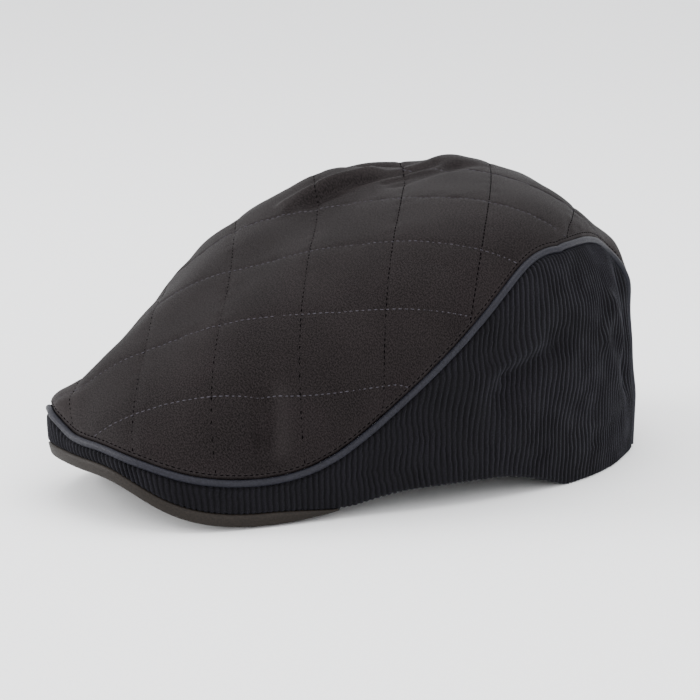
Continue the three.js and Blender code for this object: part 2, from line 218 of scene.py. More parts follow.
@dataclass(frozen=True)
class CapForm:
    """The cap's outer form, in millimetres, front towards -Y, before it is centred."""

    head_width: float = 166
    head_length: float = 206
    crown_height: float = 119
    crown_top_behind: float = 15
    crown_top_share: float = 0.97
    crown_tilt: float = 0.17
    peak_arch: float = 23.7
    peak_arch_half_deg: float = 18.2
    peak_arch_shift_deg: float = -3
    ear_arch: float = 15.1
    ear_arch_at_deg: float = 70
    ear_arch_half_deg: float = 32.5
    rest_press: float = 6
    peak_reach: float = 50
    peak_half_deg: float = 27.5
    cheek_follows: float = 0.4
    rim_height: float = 5.3
    rim_full_deg: float = 28
    rim_end_deg: float = 44
    front_band_height: float = 17.5
    side_panel_rise: float = 77.5
    seam_rises_from_deg: float = 27.5
    seam_top_deg: float = 110
    front_dip: float = 6.5
    front_dip_at_deg: float = 2
    front_dip_half_deg: float = 11
    rear_seam_deg: float = 147.5
    rear_corner_drop: float = 34.5
    rear_corner_power: float = 2.8

    def head_radius(self, direction: np.ndarray) -> np.ndarray:
        """Radius of the head's oval.

        Args:
            direction: Directions from the front, in radians.

        Returns:
            The radius at each of them, in millimetres.
        """
        across = np.sin(direction) / (self.head_width / 2)
        along = np.cos(direction) / (self.head_length / 2)
        return 1 / np.hypot(across, along)

    def reach(self, direction: np.ndarray) -> np.ndarray:
        """How far the peak stands out from the head's oval."""
        return self.peak_reach * bell(turned(direction) / DEG, self.peak_half_deg)

    def hem_height(self, direction: np.ndarray) -> np.ndarray:
        """Height of the hem's edge above the floor.

        Args:
            direction: Directions from the front, in radians.

        Returns:
            The height at each of them, in millimetres.
        """
        degrees = turned(direction) / DEG
        over_peak = bell(degrees - self.peak_arch_shift_deg, self.peak_arch_half_deg)
        over_ear = bell(np.abs(degrees) - self.ear_arch_at_deg, self.ear_arch_half_deg)
        arch = self.peak_arch * over_peak + self.ear_arch * over_ear
        return np.maximum(0, arch - self.rest_press)

    def rim_showing(self, direction: np.ndarray) -> np.ndarray:
        """Height of the peak's rim left showing below the band.

        Args:
            direction: Directions from the front, in radians.

        Returns:
            The height at each of them, in millimetres.
        """
        degrees = np.abs(turned(direction)) / DEG
        along = (degrees - self.rim_full_deg) / (self.rim_end_deg - self.rim_full_deg)
        return self.rim_height * (1 - smooth_step(along))

    def sections(self, direction: np.ndarray) -> Section:
        """The crown's section, by a cubic B-spline through SECTIONS.

        Args:
            direction: Directions from the front, in radians.

        Returns:
            A section whose values are arrays, one value for each direction.
        """
        last = len(SECTIONS) - 1
        place = np.abs(turned(direction)) / np.pi * last
        row = np.minimum(last - 1, np.floor(place)).astype(int)
        f = place - row
        weights = (
            (1 - f) ** 3 / 6,
            (3 * f**3 - 6 * f**2 + 4) / 6,
            (-3 * f**3 + 3 * f**2 + 3 * f + 1) / 6,
            f**3 / 6,
        )
        table = np.array(SECTIONS)
        values = 0
        for step, weight in enumerate(weights):
            index = np.abs(row - 1 + step)
            index = np.where(index > last, 2 * last - index, index)
            values = values + weight[..., None] * table[index]
        return Section(*np.moveaxis(values, -1, 0))

    def smooth(self, direction: np.ndarray, share: np.ndarray) -> np.ndarray:
        """The crown without folds.

        Args:
            direction: Directions from the front, in radians.
            share: Shares of the way from the hem to the crown's top.

        Returns:
            The points, in millimetres.
        """
        direction, share = np.broadcast_arrays(direction, share)
        at = self.sections(direction)
        sin, cos = np.sin(direction), np.cos(direction)
        head, reach, tall = self.head_radius(direction), self.reach(direction), self.crown_height
        roof = head * at.roof_out
        top = tall * self.crown_top_share
        cheek = head * at.cheek_out + reach * self.cheek_follows
        levels = (
            (head * at.hem_out + reach, self.hem_height(direction), 0),
            (head * at.band_out + reach, tall * at.band_up, 0),
            (cheek, tall * at.cheek_up, 0),
            (head * at.shoulder_out, tall * at.shoulder_up, 0),
            (roof, top - self.crown_tilt * roof * cos, self.crown_top_behind),
            (0 * roof, top + 0 * roof, self.crown_top_behind),
        )
        point = 0
        for k, (radius, up, behind) in enumerate(levels):
            weight = math.comb(5, k) * share**k * (1 - share) ** (5 - k)
            level = np.stack([radius * sin, behind - radius * cos, up], -1)
            point = point + weight[..., None] * level
        return point

    def lift(self, points: np.ndarray, folds: tuple[Fold, ...]) -> np.ndarray:
        """Height that the folds add to the cloth.

        Args:
            points: Points on the smooth crown, in millimetres.
            folds: The folds.

        Returns:
            The height at each point, in millimetres.
        """
        scale = np.array([self.head_width, self.head_length, self.crown_height])
        total = np.zeros(points.shape[:-1])
        for fold in folds:
            start, end = np.array(fold.start) * scale, np.array(fold.end) * scale
            line = end - start
            along = np.clip((points - start) @ line / (line @ line), 0, 1)
            away = lengths(points - start - along[..., None] * line)
            width = fold.width * self.crown_height
            total += fold.depth * self.crown_height * np.exp(-((away / width) ** 2))
        return total

    def normal(self, surface: Callable, direction: np.ndarray, share: np.ndarray) -> np.ndarray:
        """The outward normal of a surface.

        Args:
            surface: Gives a surface's points for directions and shares.
            direction: Directions from the front, in radians.
            share: Shares of the way from the hem to the crown's top.

        Returns:
            The normals, each with length 1.
        """
        inner = np.minimum(share, 1 - 2 * STEP)
        round_it = surface(direction + STEP, inner) - surface(direction - STEP, inner)
        lower = surface(direction, np.maximum(0, inner - STEP))
        cross = np.cross(round_it, surface(direction, inner + STEP) - lower)
        return cross / np.maximum(lengths(cross), TINY)[..., None]

    def crown(self, direction: np.ndarray, share: np.ndarray) -> np.ndarray:
        """The crown's outer face with all its folds.

        Args:
            direction: Directions from the front, in radians.
            share: Shares of the way from the hem to the crown's top.

        Returns:
            The points, in millimetres.
        """
        point = self.smooth(direction, share)
        normal = self.normal(self.smooth, direction, share)
        return point + self.lift(point, MAIN_FOLDS + FINE_FOLDS)[..., None] * normal

    def share_at(self, direction: np.ndarray, height: np.ndarray) -> np.ndarray:
        """The share at which the crown reaches a height, found by halving.

        Args:
            direction: Directions from the front, in radians.
            height: Heights above the floor, in millimetres.

        Returns:
            The share at each place.
        """
        low, high = np.zeros_like(direction), np.full_like(direction, 0.8)
        for _ in range(30):
            middle = (low + high) / 2
            under = self.smooth(direction, middle)[..., 2] < height
            low, high = np.where(under, middle, low), np.where(under, high, middle)
        return (low + high) / 2

    def seam_height(self, direction: np.ndarray) -> np.ndarray:
        """Height of the seam's front part.

        Args:
            direction: Directions from the front, in radians.

        Returns:
            The height at each of them, in millimetres.
        """
        degrees = np.abs(direction) / DEG
        span = self.seam_top_deg - self.seam_rises_from_deg
        climb = self.side_panel_rise * smooth_step((degrees - self.seam_rises_from_deg) / span)
        ahead = bell(direction / DEG - self.front_dip_at_deg, self.front_dip_half_deg)
        low = self.hem_height(direction) + self.front_band_height
        return low + climb - self.front_dip * ahead


@dataclass
class Path:
    """A line over the cloth, as directions and shares."""

    direction: np.ndarray
    share: np.ndarray

    def part(self, start: int, stop: int | None) -> "Path":
        """A stretch of the line."""
        return Path(self.direction[start:stop], self.share[start:stop])

    def reverse(self) -> "Path":
        """The line the other way round."""
        return Path(self.direction[::-1], self.share[::-1])

    @staticmethod
    def join(*paths: "Path") -> "Path":
        """Several lines, one after another."""
        direction = np.concatenate([p.direction for p in paths])
        return Path(direction, np.concatenate([p.share for p in paths]))


@dataclass(frozen=True)
class Seam:
    """The piped seam between the top panel and the side band, on either side."""

    form: CapForm
    front: int = 150
    corner: int = 54
    tail: int = 44

    def line(self, side: Side) -> Path:
        """The seam from the front's middle to the foot of the rear seam.

        Args:
            side: The wearer's left or right.

        Returns:
            The line, with self.front, self.corner and self.tail steps in its three parts.
        """
        form, sign = self.form, side.value
        ahead = sign * np.linspace(0, form.seam_top_deg * DEG, self.front + 1)
        height = form.seam_height(ahead)
        angle = np.linspace(0, np.pi / 2, self.corner + 1)[1:]
        power = 2 / form.rear_corner_power
        span = form.rear_seam_deg - form.seam_top_deg
        behind = sign * (form.seam_top_deg + span * np.sin(angle) ** power) * DEG
        drop = form.rear_corner_drop * (1 - np.maximum(0, np.cos(angle)) ** power)
        direction = np.concatenate([ahead, behind])
        share = form.share_at(direction, np.concatenate([height, height[-1] - drop]))
        down = share[-1] * (1 - np.arange(1, self.tail + 1) / self.tail)
        foot = np.full(self.tail, direction[-1])
        return Path(np.concatenate([direction, foot]), np.concatenate([share, down]))

    def moved(self, side: Side, distance: float) -> Path:
        """The seam moved sideways along the cloth.

        Args:
            side: The wearer's left or right.
            distance: Millimetres towards the top panel, or away from it if negative.

        Returns:
            The moved line.
        """
        form, line = self.form, self.line(side)
        direction, share = line.direction, line.share
        number = np.arange(len(share))
        before, after = np.maximum(0, number - 1), np.minimum(number[-1], number + 1)
        low = np.maximum(0, share - STEP)
        wide = lengths(form.crown(direction + STEP, share) - form.crown(direction - STEP, share))
        tall = lengths(form.crown(direction, share + STEP) - form.crown(direction, low))
        round_it, rise = wide / (2 * STEP), tall / (share + STEP - low)
        across = side.value * (direction[after] - direction[before]) * round_it
        up = (share[after] - share[before]) * rise
        length = np.hypot(across, up)
        return Path(
            direction - side.value * distance * up / length / round_it,
            np.maximum(0, share + distance * across / length / rise),
        )

    def whole(self) -> Path:
        """The seam from the right rear foot round the front to the left one."""
        right, left = self.line(Side.RIGHT), self.line(Side.LEFT)
        return Path.join(right.part(1, None).reverse(), left)


class Cloth:
    """The shared surface that all the pieces are cut from, with its distances to the seam."""

    def __init__(self, form: CapForm, cad_bounds: list[list[float]]) -> None:
        """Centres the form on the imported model.

        Args:
            form: The cap's form.
            cad_bounds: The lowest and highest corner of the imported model, in metres.
        """
        self.form = form
        self.seam = Seam(form)
        around = np.linspace(-np.pi, np.pi, 721)[:, None]
        shell = form.crown(around, np.linspace(0, 1, 181)[None, :]).reshape(-1, 3)
        middle = (shell.min(0) + shell.max(0)) / 2
        cad_middle = (np.array(cad_bounds[0]) + np.array(cad_bounds[1])) / 2 / MM
        self.shift = cad_middle - middle
        self.shift[2] = cad_bounds[0][2] / MM
        dense = Seam(form, front=700, corner=260, tail=160).whole()
        self.tree = KDTree(len(dense.share))
        for number, point in enumerate(form.crown(dense.direction, dense.share)):
            self.tree.insert(point, number)
        self.tree.balance()
        self._measure_arcs()

    def _measure_arcs(self) -> None:
        """Tables of the arc length from the crown's top, by direction and share."""
        self.arc_directions = np.linspace(-np.pi, np.pi, 361)
        self.arc_shares = np.linspace(0, 1, 241)
        grid = self.form.smooth(self.arc_directions[:, None], self.arc_shares[None, :])
        steps = lengths(np.diff(grid, axis=1))
        total = np.cumsum(steps[:, ::-1], axis=1)[:, ::-1]
        self.arcs = np.concatenate([total, np.zeros((len(total), 1))], 1)

    def arc(self, direction: np.ndarray, share: np.ndarray) -> np.ndarray:
        """Length along the cloth from the crown's top.

        Args:
            direction: Directions from the front, in radians.
            share: Shares of the way from the hem to the crown's top.

        Returns:
            The length to each place, in millimetres.
        """
        columns, rows = len(self.arc_directions) - 1, len(self.arc_shares) - 1
        across = (turned(direction) + np.pi) / (2 * np.pi) * columns
        up = np.clip(share, 0, 1) * rows
        i = np.minimum(across.astype(int), columns - 1)
        j = np.minimum(up.astype(int), rows - 1)
        f, g = across - i, up - j
        near = self.arcs[i, j] * (1 - g) + self.arcs[i, j + 1] * g
        far = self.arcs[i + 1, j] * (1 - g) + self.arcs[i + 1, j + 1] * g
        return near * (1 - f) + far * f

    def flat_map(self, direction: np.ndarray, share: np.ndarray) -> np.ndarray:
        """The cloth laid flat round the crown's top, in millimetres."""
        arc = self.arc(direction, share)
        return np.stack([arc * np.sin(direction), -arc * np.cos(direction)], -1)

    def from_flat(self, flat: np.ndarray) -> Path:
        """The way back from the flat map to the cloth, found by halving.

        Args:
            flat: Points of the flat map, in millimetres.

        Returns:
            Their places on the cloth.
        """
        direction, arc = np.arctan2(flat[:, 0], -flat[:, 1]), lengths(flat)
        low, high = np.zeros_like(arc), np.ones_like(arc)
        for _ in range(30):
            middle = (low + high) / 2
            beyond = self.arc(direction, middle) > arc
            low, high = np.where(beyond, middle, low), np.where(beyond, high, middle)
        return Path(direction, (low + high) / 2)

    def from_seam(self, points: np.ndarray) -> np.ndarray:
        """Distance to the seam.

        Args:
            points: Points, in millimetres.

        Returns:
            The distance of each, in millimetres.
        """
        flat = points.reshape(-1, 3)
        found = np.array([self.tree.find(p)[2] for p in flat])
        return found.reshape(points.shape[:-1])

    def place(self, points: np.ndarray) -> np.ndarray:
        """Moves points to their place in the frame, none below the floor.

        Args:
            points: Points of the form, in millimetres.

        Returns:
            The same points in the frame, in metres.
        """
        moved = points + self.shift
        moved[..., 2] = np.maximum(moved[..., 2], self.shift[2])
        return moved * MM


def strip(low: np.ndarray, high: np.ndarray) -> np.ndarray:
    """Four-sided faces between two rows of vertex numbers."""
    return np.stack([low[:-1], low[1:], high[1:], high[:-1]], -1).reshape(-1, 4)


def sheet_of(rows: np.ndarray) -> np.ndarray:
    """Four-sided faces of a grid of vertex numbers, lowest row first."""
    return np.concatenate([strip(low, high) for low, high in zip(rows, rows[1:])])


def capped_tube(rows: np.ndarray) -> list[list[int]]:
    """Faces of a tube with an end face at each end.

    Args:
        rows: Vertex numbers, with one row for each line along the tube.

    Returns:
        The faces.
    """
    faces = [list(face) for face in sheet_of(np.concatenate([rows, rows[:1]]))]
    return [*faces, list(rows[:, 0]), list(rows[::-1, -1])]


def make_mesh(
    name: str,
    points: np.ndarray,
    faces: list,
    material: bpy.types.Material,
    flat: np.ndarray | None = None,
    marks: dict[str, np.ndarray] | None = None,
) -> bpy.types.Object:
    """A smooth mesh object at the origin.

    Args:
        name: The piece's name.
        points: Vertices, in metres.
        faces: Vertex numbers of each face.
        material: The finish.
        flat: The place of each vertex on the cloth, in metres, kept as a UV map.
        marks: Values for each vertex, kept as attributes.

    Returns:
        The object.
    """
    mesh = bpy.data.meshes.new(name)
    mesh.from_pydata(points.tolist(), [], [list(map(int, face)) for face in faces])
    mesh.polygons.foreach_set("use_smooth", np.ones(len(mesh.polygons), bool))
    if flat is not None:
        corners = np.zeros(len(mesh.loops), np.int32)
        mesh.loops.foreach_get("vertex_index", corners)
        layer = mesh.uv_layers.new(name=UV_NAME)
        layer.data.foreach_set("uv", flat[corners].astype(np.float32).ravel())
    for mark, values in (marks or {}).items():
        attribute = mesh.attributes.new(mark, "FLOAT", "POINT")
        attribute.data.foreach_set("value", values.astype(np.float32))
    mesh.materials.append(material)
    mesh.update()
    piece = bpy.data.objects.new(name, mesh)
    bpy.context.scene.collection.objects.link(piece)
    return piece


class Nodes:
    """A short hand for filling a node tree."""

    def __init__(self, tree: bpy.types.NodeTree) -> None:
        """Takes the tree to fill."""
        self.tree = tree

    def add(self, kind: str, *, values: dict | None = None, **settings: object) -> bpy.types.Node:
        """Adds a node.

        Args:
            kind: The node's type.
            values: Input values or sockets to link from, by the input's name or number.
            **settings: Properties of the node.

        Returns:
            The node.
        """
        node = self.tree.nodes.new(kind)
        for name, value in settings.items():
            setattr(node, name, value)
        for name, value in (values or {}).items():
            if isinstance(value, bpy.types.NodeSocket):
                self.tree.links.new(value, node.inputs[name])
            else:
                node.inputs[name].default_value = value
        return node

    def math(self, operation: str, first: object, second: object = 0.0) -> bpy.types.NodeSocket:
        """The result of a math node on one or two values."""
        node = self.add("ShaderNodeMath", operation=operation, values={0: first, 1: second})
        return node.outputs[0]

    def mix(self, factor: object, first: object, second: object) -> bpy.types.NodeSocket:
        """A mix of two colours."""
        values = {0: factor, 6: first, 7: second}
        return self.add("ShaderNodeMix", data_type="RGBA", values=values).outputs[2]

    def ramp(
        self, value: object, low: float, high: float, to: tuple = (0, 1)
    ) -> bpy.types.NodeSocket:
        """A value taken from one range to another and held at its ends.

        Args:
            value: The value, or the socket that gives it.
            low: The first range's lower end.
            high: The first range's upper end.
            to: The second range.

        Returns:
            The socket with the result.
        """
        settings = {"Value": value, "From Min": low, "From Max": high}
        settings.update({"To Min": to[0], "To Max": to[1]})
        return self.add("ShaderNodeMapRange", values=settings).outputs["Result"]


def new_group(name: str, inputs: tuple, outputs: tuple) -> tuple[bpy.types.NodeTree, Nodes]:
    """A shader node group with named sockets.

    Args:
        name: The group's name.
        inputs: (name, socket type, default) of each input.
        outputs: (name, socket type) of each output.

    Returns:
        The tree, and its short hand.
    """
    tree = bpy.data.node_groups.new(name, "ShaderNodeTree")
    for label, kind, default in inputs:
        socket = tree.interface.new_socket(label, in_out="INPUT", socket_type=kind)
        if default is not None:
            socket.default_value = default
    for label, kind in outputs:
        tree.interface.new_socket(label, in_out="OUTPUT", socket_type=kind)
    return tree, Nodes(tree)


def weave_group() -> bpy.types.NodeTree:
    """A plain weave: over-and-under threads, with uneven thickness.

    Returns:
        The group.
    """
    inputs = (
        ("Place", "NodeSocketVector", None),
        ("Threads", "NodeSocketFloat", 2000.0),
        ("Slub", "NodeSocketFloat", 0.3),
    )
    tree, n = new_group("plain_weave", inputs, (("Height", "NodeSocketFloat"),))
    given = n.add("NodeGroupInput").outputs
    scaled = n.add(
        "ShaderNodeVectorMath",
        operation="SCALE",
        values={0: given["Place"], "Scale": given["Threads"]},
    ).outputs[0]
    apart = n.add("ShaderNodeSeparateXYZ", values={0: scaled}).outputs
    warp = n.math("SINE", n.math("MULTIPLY", apart[0], math.pi))
    weft = n.math("SINE", n.math("MULTIPLY", apart[1], math.pi))
    over = n.math("MULTIPLY", warp, weft)
    noise = n.add(
        "ShaderNodeTexNoise", values={"Vector": scaled, "Scale": 0.21, "Detail": 3.0}
    ).outputs["Fac"]
    uneven = n.math("MULTIPLY", noise, given["Slub"])
    height = n.math("ADD", n.math("MULTIPLY", n.math("ABSOLUTE", over), 0.7), uneven)
    n.add("NodeGroupOutput", values={"Height": height})
    return tree


def mottle_group() -> bpy.types.NodeTree:
    """Patchy and grainy variation of a cloth's colour.

    Returns:
        The group.
    """
    inputs = (
        ("Place", "NodeSocketVector", None),
        ("Patch", "NodeSocketFloat", 30.0),
        ("Grain", "NodeSocketFloat", 1500.0),
        ("Grain share", "NodeSocketFloat", 0.8),
    )
    tree, n = new_group("cloth_mottle", inputs, (("Tone", "NodeSocketFloat"),))
    given = n.add("NodeGroupInput").outputs
    patch = n.add(
        "ShaderNodeTexNoise",
        values={"Vector": given["Place"], "Scale": given["Patch"], "Detail": 4.0},
    ).outputs["Fac"]
    grain = n.add(
        "ShaderNodeTexNoise",
        values={"Vector": given["Place"], "Scale": given["Grain"], "Detail": 3.0},
    ).outputs["Fac"]
    rest = n.math("SUBTRACT", 1.0, given["Grain share"])
    tone = n.math(
        "ADD",
        n.math("MULTIPLY", n.ramp(grain, 0.38, 0.62), given["Grain share"]),
        n.math("MULTIPLY", n.ramp(patch, 0.35, 0.65), rest),
    )
    n.add("NodeGroupOutput", values={"Tone": tone})
    return tree


class Workshop:
    """The shader groups that the finishes share, each built once."""

    def __init__(self) -> None:
        """Builds the groups."""
        self.weave = weave_group()
        self.mottle = mottle_group()


Colour = tuple[float, float, float, float]


def finish_base(name: str) -> tuple[bpy.types.Material, Nodes, bpy.types.Node]:
    """A material with its Principled shader, ready to be filled.

    Args:
        name: The material's name.

    Returns:
        The material, its short hand and its shader.
    """
    material = bpy.data.materials.new(name)
    material.use_nodes = True
    tree = material.node_tree
    tree.nodes.clear()
    n = Nodes(tree)
    shader = n.add("ShaderNodeBsdfPrincipled")
    n.add("ShaderNodeOutputMaterial", values={"Surface": shader.outputs[0]})
    return material, n, shader


@dataclass(frozen=True)
class WovenFinish:
    """A woven cloth: dark and light tones, weave and, where it has one, a paler tone for wear and
    painted highlight.
    """

    name: str
    dark: Colour
    light: Colour
    roughness: tuple[float, float]
    threads: float
    weave_depth: float
    specular: float = 0.2
    bump: float = 0.6
    worn_and_lit: Colour | None = None
    on_uv: bool = True

    def build(self, shop: Workshop) -> bpy.types.Material:
        """Makes the material.

        Args:
            shop: The shared shader groups.

        Returns:
            The material.
        """
        material, n, shader = finish_base(self.name)
        if self.on_uv:
            place = n.add("ShaderNodeUVMap", uv_map=UV_NAME).outputs[0]
        else:
            place = n.add("ShaderNodeTexCoord").outputs["Object"]
        tone = n.add("ShaderNodeGroup", node_tree=shop.mottle, values={"Place": place}).outputs[0]
        colour = n.mix(tone, self.dark, self.light)
        # Paler where marked: wear at the top panel's edge, and wear with painted highlight on the
        # folds' ridges.
        if self.worn_and_lit:
            worn_and_lit = n.add("ShaderNodeAttribute", attribute_name=WEAR_AND_HIGHLIGHT_MARK).outputs["Fac"]
            colour = n.mix(worn_and_lit, colour, self.worn_and_lit)
        weave = n.add(
            "ShaderNodeGroup",
            node_tree=shop.weave,
            values={"Place": place, "Threads": self.threads},
        ).outputs[0]
        bump = n.add(
            "ShaderNodeBump",
            values={"Strength": self.bump, "Distance": self.weave_depth, "Height": weave},
        )
        shader.inputs["Specular IOR Level"].default_value = self.specular
        rough = n.ramp(tone, 0.0, 1.0, self.roughness)
        for label, socket in (
            ("Base Color", colour),
            ("Roughness", rough),
            ("Normal", bump.outputs[0]),
        ):
            n.tree.links.new(socket, shader.inputs[label])
        return material


@dataclass(frozen=True)
class CorduroyFinish:
    """Cut-pile ribs: painted shade, near black, in the grooves, and a painted cool sheen on the
    ridges.
    """

    name: str = "black_corduroy"
    # Painted shade in the grooves, the ridges' painted sheen colour, and a paler pile tone in random
    # patches on them.
    groove: Colour = (0.0005, 0.0004, 0.0007, 1)
    ridge: Colour = (0.0021, 0.0018, 0.0027, 1)
    rubbed: Colour = (0.0072, 0.0062, 0.0096, 1)
    roughness: float = 0.95
    specular: float = 0.15
    sheen: float = 0.05
    sheen_roughness: float = 0.45
    sheen_tint: Colour = (0.55, 0.58, 0.75, 1)
    patch: float = 45.0
    grain: float = 2200.0
    grain_share: float = 0.7
    pile_bump: float = 0.5
    pile_depth: float = 0.0004

    def build(self, shop: Workshop) -> bpy.types.Material:
        """Makes the material.

        Args:
            shop: The shared shader groups.

        Returns:
            The material.
        """
        material, n, shader = finish_base(self.name)
        place = n.add("ShaderNodeUVMap", uv_map=UV_NAME).outputs[0]
        ridge = n.add("ShaderNodeAttribute", attribute_name=RIB_SHADE_AND_SHEEN_MARK).outputs["Fac"]
        values = {"Place": place, "Patch": self.patch, "Grain": self.grain}
        values["Grain share"] = self.grain_share
        tone = n.add("ShaderNodeGroup", node_tree=shop.mottle, values=values).outputs[0]
        # Painted light: lit ridges, paler in random patches, and painted shade in the grooves, mixed
        # by the rib mark.
        lit = n.mix(n.ramp(tone, 0.35, 1.0), self.ridge, self.rubbed)
        colour = n.mix(ridge, self.groove, lit)
        values = {"Strength": self.pile_bump, "Distance": self.pile_depth, "Height": tone}
        bump = n.add("ShaderNodeBump", values=values)
        for label, value in (
            ("Roughness", self.roughness),
            ("Specular IOR Level", self.specular),
            ("Sheen Weight", self.sheen),
            ("Sheen Roughness", self.sheen_roughness),
            ("Sheen Tint", self.sheen_tint),
        ):
            shader.inputs[label].default_value = value
        n.tree.links.new(colour, shader.inputs["Base Color"])
        n.tree.links.new(bump.outputs[0], shader.inputs["Normal"])
        return material


@dataclass(frozen=True)
class PlainFinish:
    """A finish of one colour, for thread and for the floor."""

    name: str
    colour: Colour
    roughness: float
    shade: float = 0.7
    specular: float = 0.05
    grain: float = 700.0

    def build(self) -> bpy.types.Material:
        """Makes the material, with a faint grain in its tone.

        Returns:
            The material.
        """
        material, n, shader = finish_base(self.name)
        place = n.add("ShaderNodeTexCoord").outputs["Object"]
        noise = n.add("ShaderNodeTexNoise", values={"Vector": place, "Scale": self.grain})
        darker = tuple(self.shade * c for c in self.colour[:3]) + (1,)
        colour = n.mix(n.ramp(noise.outputs["Fac"], 0.35, 0.65), darker, self.colour)
        n.tree.links.new(colour, shader.inputs["Base Color"])
        shader.inputs["Roughness"].default_value = self.roughness
        shader.inputs["Specular IOR Level"].default_value = self.specular
        return material


WAXED_COTTON = WovenFinish(
    name="waxed_cotton",
    dark=(0.0022, 0.0014, 0.0014, 1),
    light=(0.0145, 0.0112, 0.0115, 1),
    roughness=(0.66, 0.56),
    threads=1500.0,
    weave_depth=0.00012,
    specular=0.06,
    # The paler tone of wear, which on the folds' ridges is also painted highlight.
    worn_and_lit=(0.03, 0.0255, 0.0255, 1),
)
PIPING_CLOTH = WovenFinish(
    name="piping_cloth",
    dark=(0.003, 0.003, 0.0058, 1),
    light=(0.0088, 0.0088, 0.0148, 1),
    roughness=(0.6, 0.5),
    threads=2200.0,
    weave_depth=0.0001,
    on_uv=False,
)
PEAK_CLOTH = WovenFinish(
    name="peak_cloth",
    dark=(0.005, 0.0034, 0.0022, 1),
    light=(0.0125, 0.0088, 0.0062, 1),
    roughness=(0.68, 0.58),
    threads=1700.0,
    weave_depth=0.0001,
)
PALE_THREAD = PlainFinish("pale_thread", (0.05, 0.046, 0.054, 1), 0.85)
DARK_THREAD = PlainFinish("dark_thread", (0.0007, 0.0006, 0.0009, 1), 0.9, 0.7, 0.0)
FLOOR_PAPER = PlainFinish("floor_paper", (0.95, 0.95, 0.95, 1), 0.9, 0.98)


def dress(
    piece: bpy.types.Object, slot: str, *nodes: str, body: str = BODY
) -> bpy.types.Object:
    """Attaches the piece to the body it rides on, and hides and logs the CAD nodes that it stands
    for.

    Args:
        piece: The finished piece.
        slot: A material slot's name. Not used.
        *nodes: The CAD nodes that it stands for.
        body: The CAD body that it moves with.

    Returns:
        The piece.
    """
    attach(piece, body)
    if nodes:
        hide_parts(*nodes)
    count = sum(len(face.vertices) - 2 for face in piece.data.polygons)
    LOG.info("%s: %d triangles, stands for %s", piece.name, count, ", ".join(nodes) or "nothing")
    return piece


# Points and outward normals of each line, in millimetres.
StitchLines = list[tuple[np.ndarray, np.ndarray]]

DRIFT_POWERS = (
    (0, 0), (0, 1), (0, 2), (0, 3), (1, 0), (1, 1), (1, 2), (2, 0), (2, 1), (3, 0),
)


@dataclass(frozen=True)
class QuiltLines:
    """One family of parallel quilting lines, with their drift from the straight.

    The drift is a polynomial of the flat place in decimetres, one value for each pair of powers
    in DRIFT_POWERS. It is held at its edge values beyond the reach of the lines that were read.
    """

    aim: tuple[int, int]
    offset: float
    drift: tuple[float, ...]
    pitch: float = 37.0
    across_reach: tuple[float, float] = (-35.0, 105.0)
    along_reach: tuple[float, float] = (-185.0, 35.0)
    half_length: float = 260.0
    spacing: float = 0.8
    passes: int = 8

    def unit(self) -> np.ndarray:
        """The flat direction across the lines."""
        return np.array(self.aim) / math.sqrt(2)

    def drift_at(self, flat: np.ndarray) -> np.ndarray:
        """How far the lines have drifted from the straight.

        Args:
            flat: Places of the flat map, in millimetres.

        Returns:
            The drift at each, in millimetres.
        """
        u = np.clip(flat[..., 0], *self.across_reach) / 100
        v = np.clip(flat[..., 1], *self.along_reach) / 100
        return sum(c * u**i * v**j for c, (i, j) in zip(self.drift, DRIFT_POWERS))

    def distance(self, flat: np.ndarray) -> np.ndarray:
        """Distance to the nearest line.

        Args:
            flat: Places of the flat map, in millimetres.

        Returns:
            The distance of each, in millimetres.
        """
        across = flat @ self.unit() - self.offset - self.drift_at(flat)
        wrapped = (across / self.pitch + 0.5) % 1 - 0.5
        return np.abs(wrapped) * self.pitch

    def line(self, number: int) -> np.ndarray:
        """One line of the family.

        Args:
            number: The line's number, counted from the one at the offset.

        Returns:
            Its places on the flat map, in millimetres.
        """
        unit = self.unit()
        along = np.arange(-self.half_length, self.half_length, self.spacing)
        run = np.array((-unit[1], unit[0])) * along[:, None]
        straight = run + (self.offset + number * self.pitch) * unit
        flat = straight
        for _ in range(self.passes):
            flat = straight + self.drift_at(flat)[:, None] * unit
        return flat


LENGTHWISE = QuiltLines(
    (1, 1), 2.0, (-7.32, -7.48, -3.07, -1.01, 4.55, -6.29, -7.23, 5.77, 3.81, 2.62)
)
CROSSWISE = QuiltLines(
    (1, -1), 26.0, (1.7, 8.64, 6.23, 1.15, 20.53, -8.93, -10.89, -11.9, -9.32, -17.28)
)


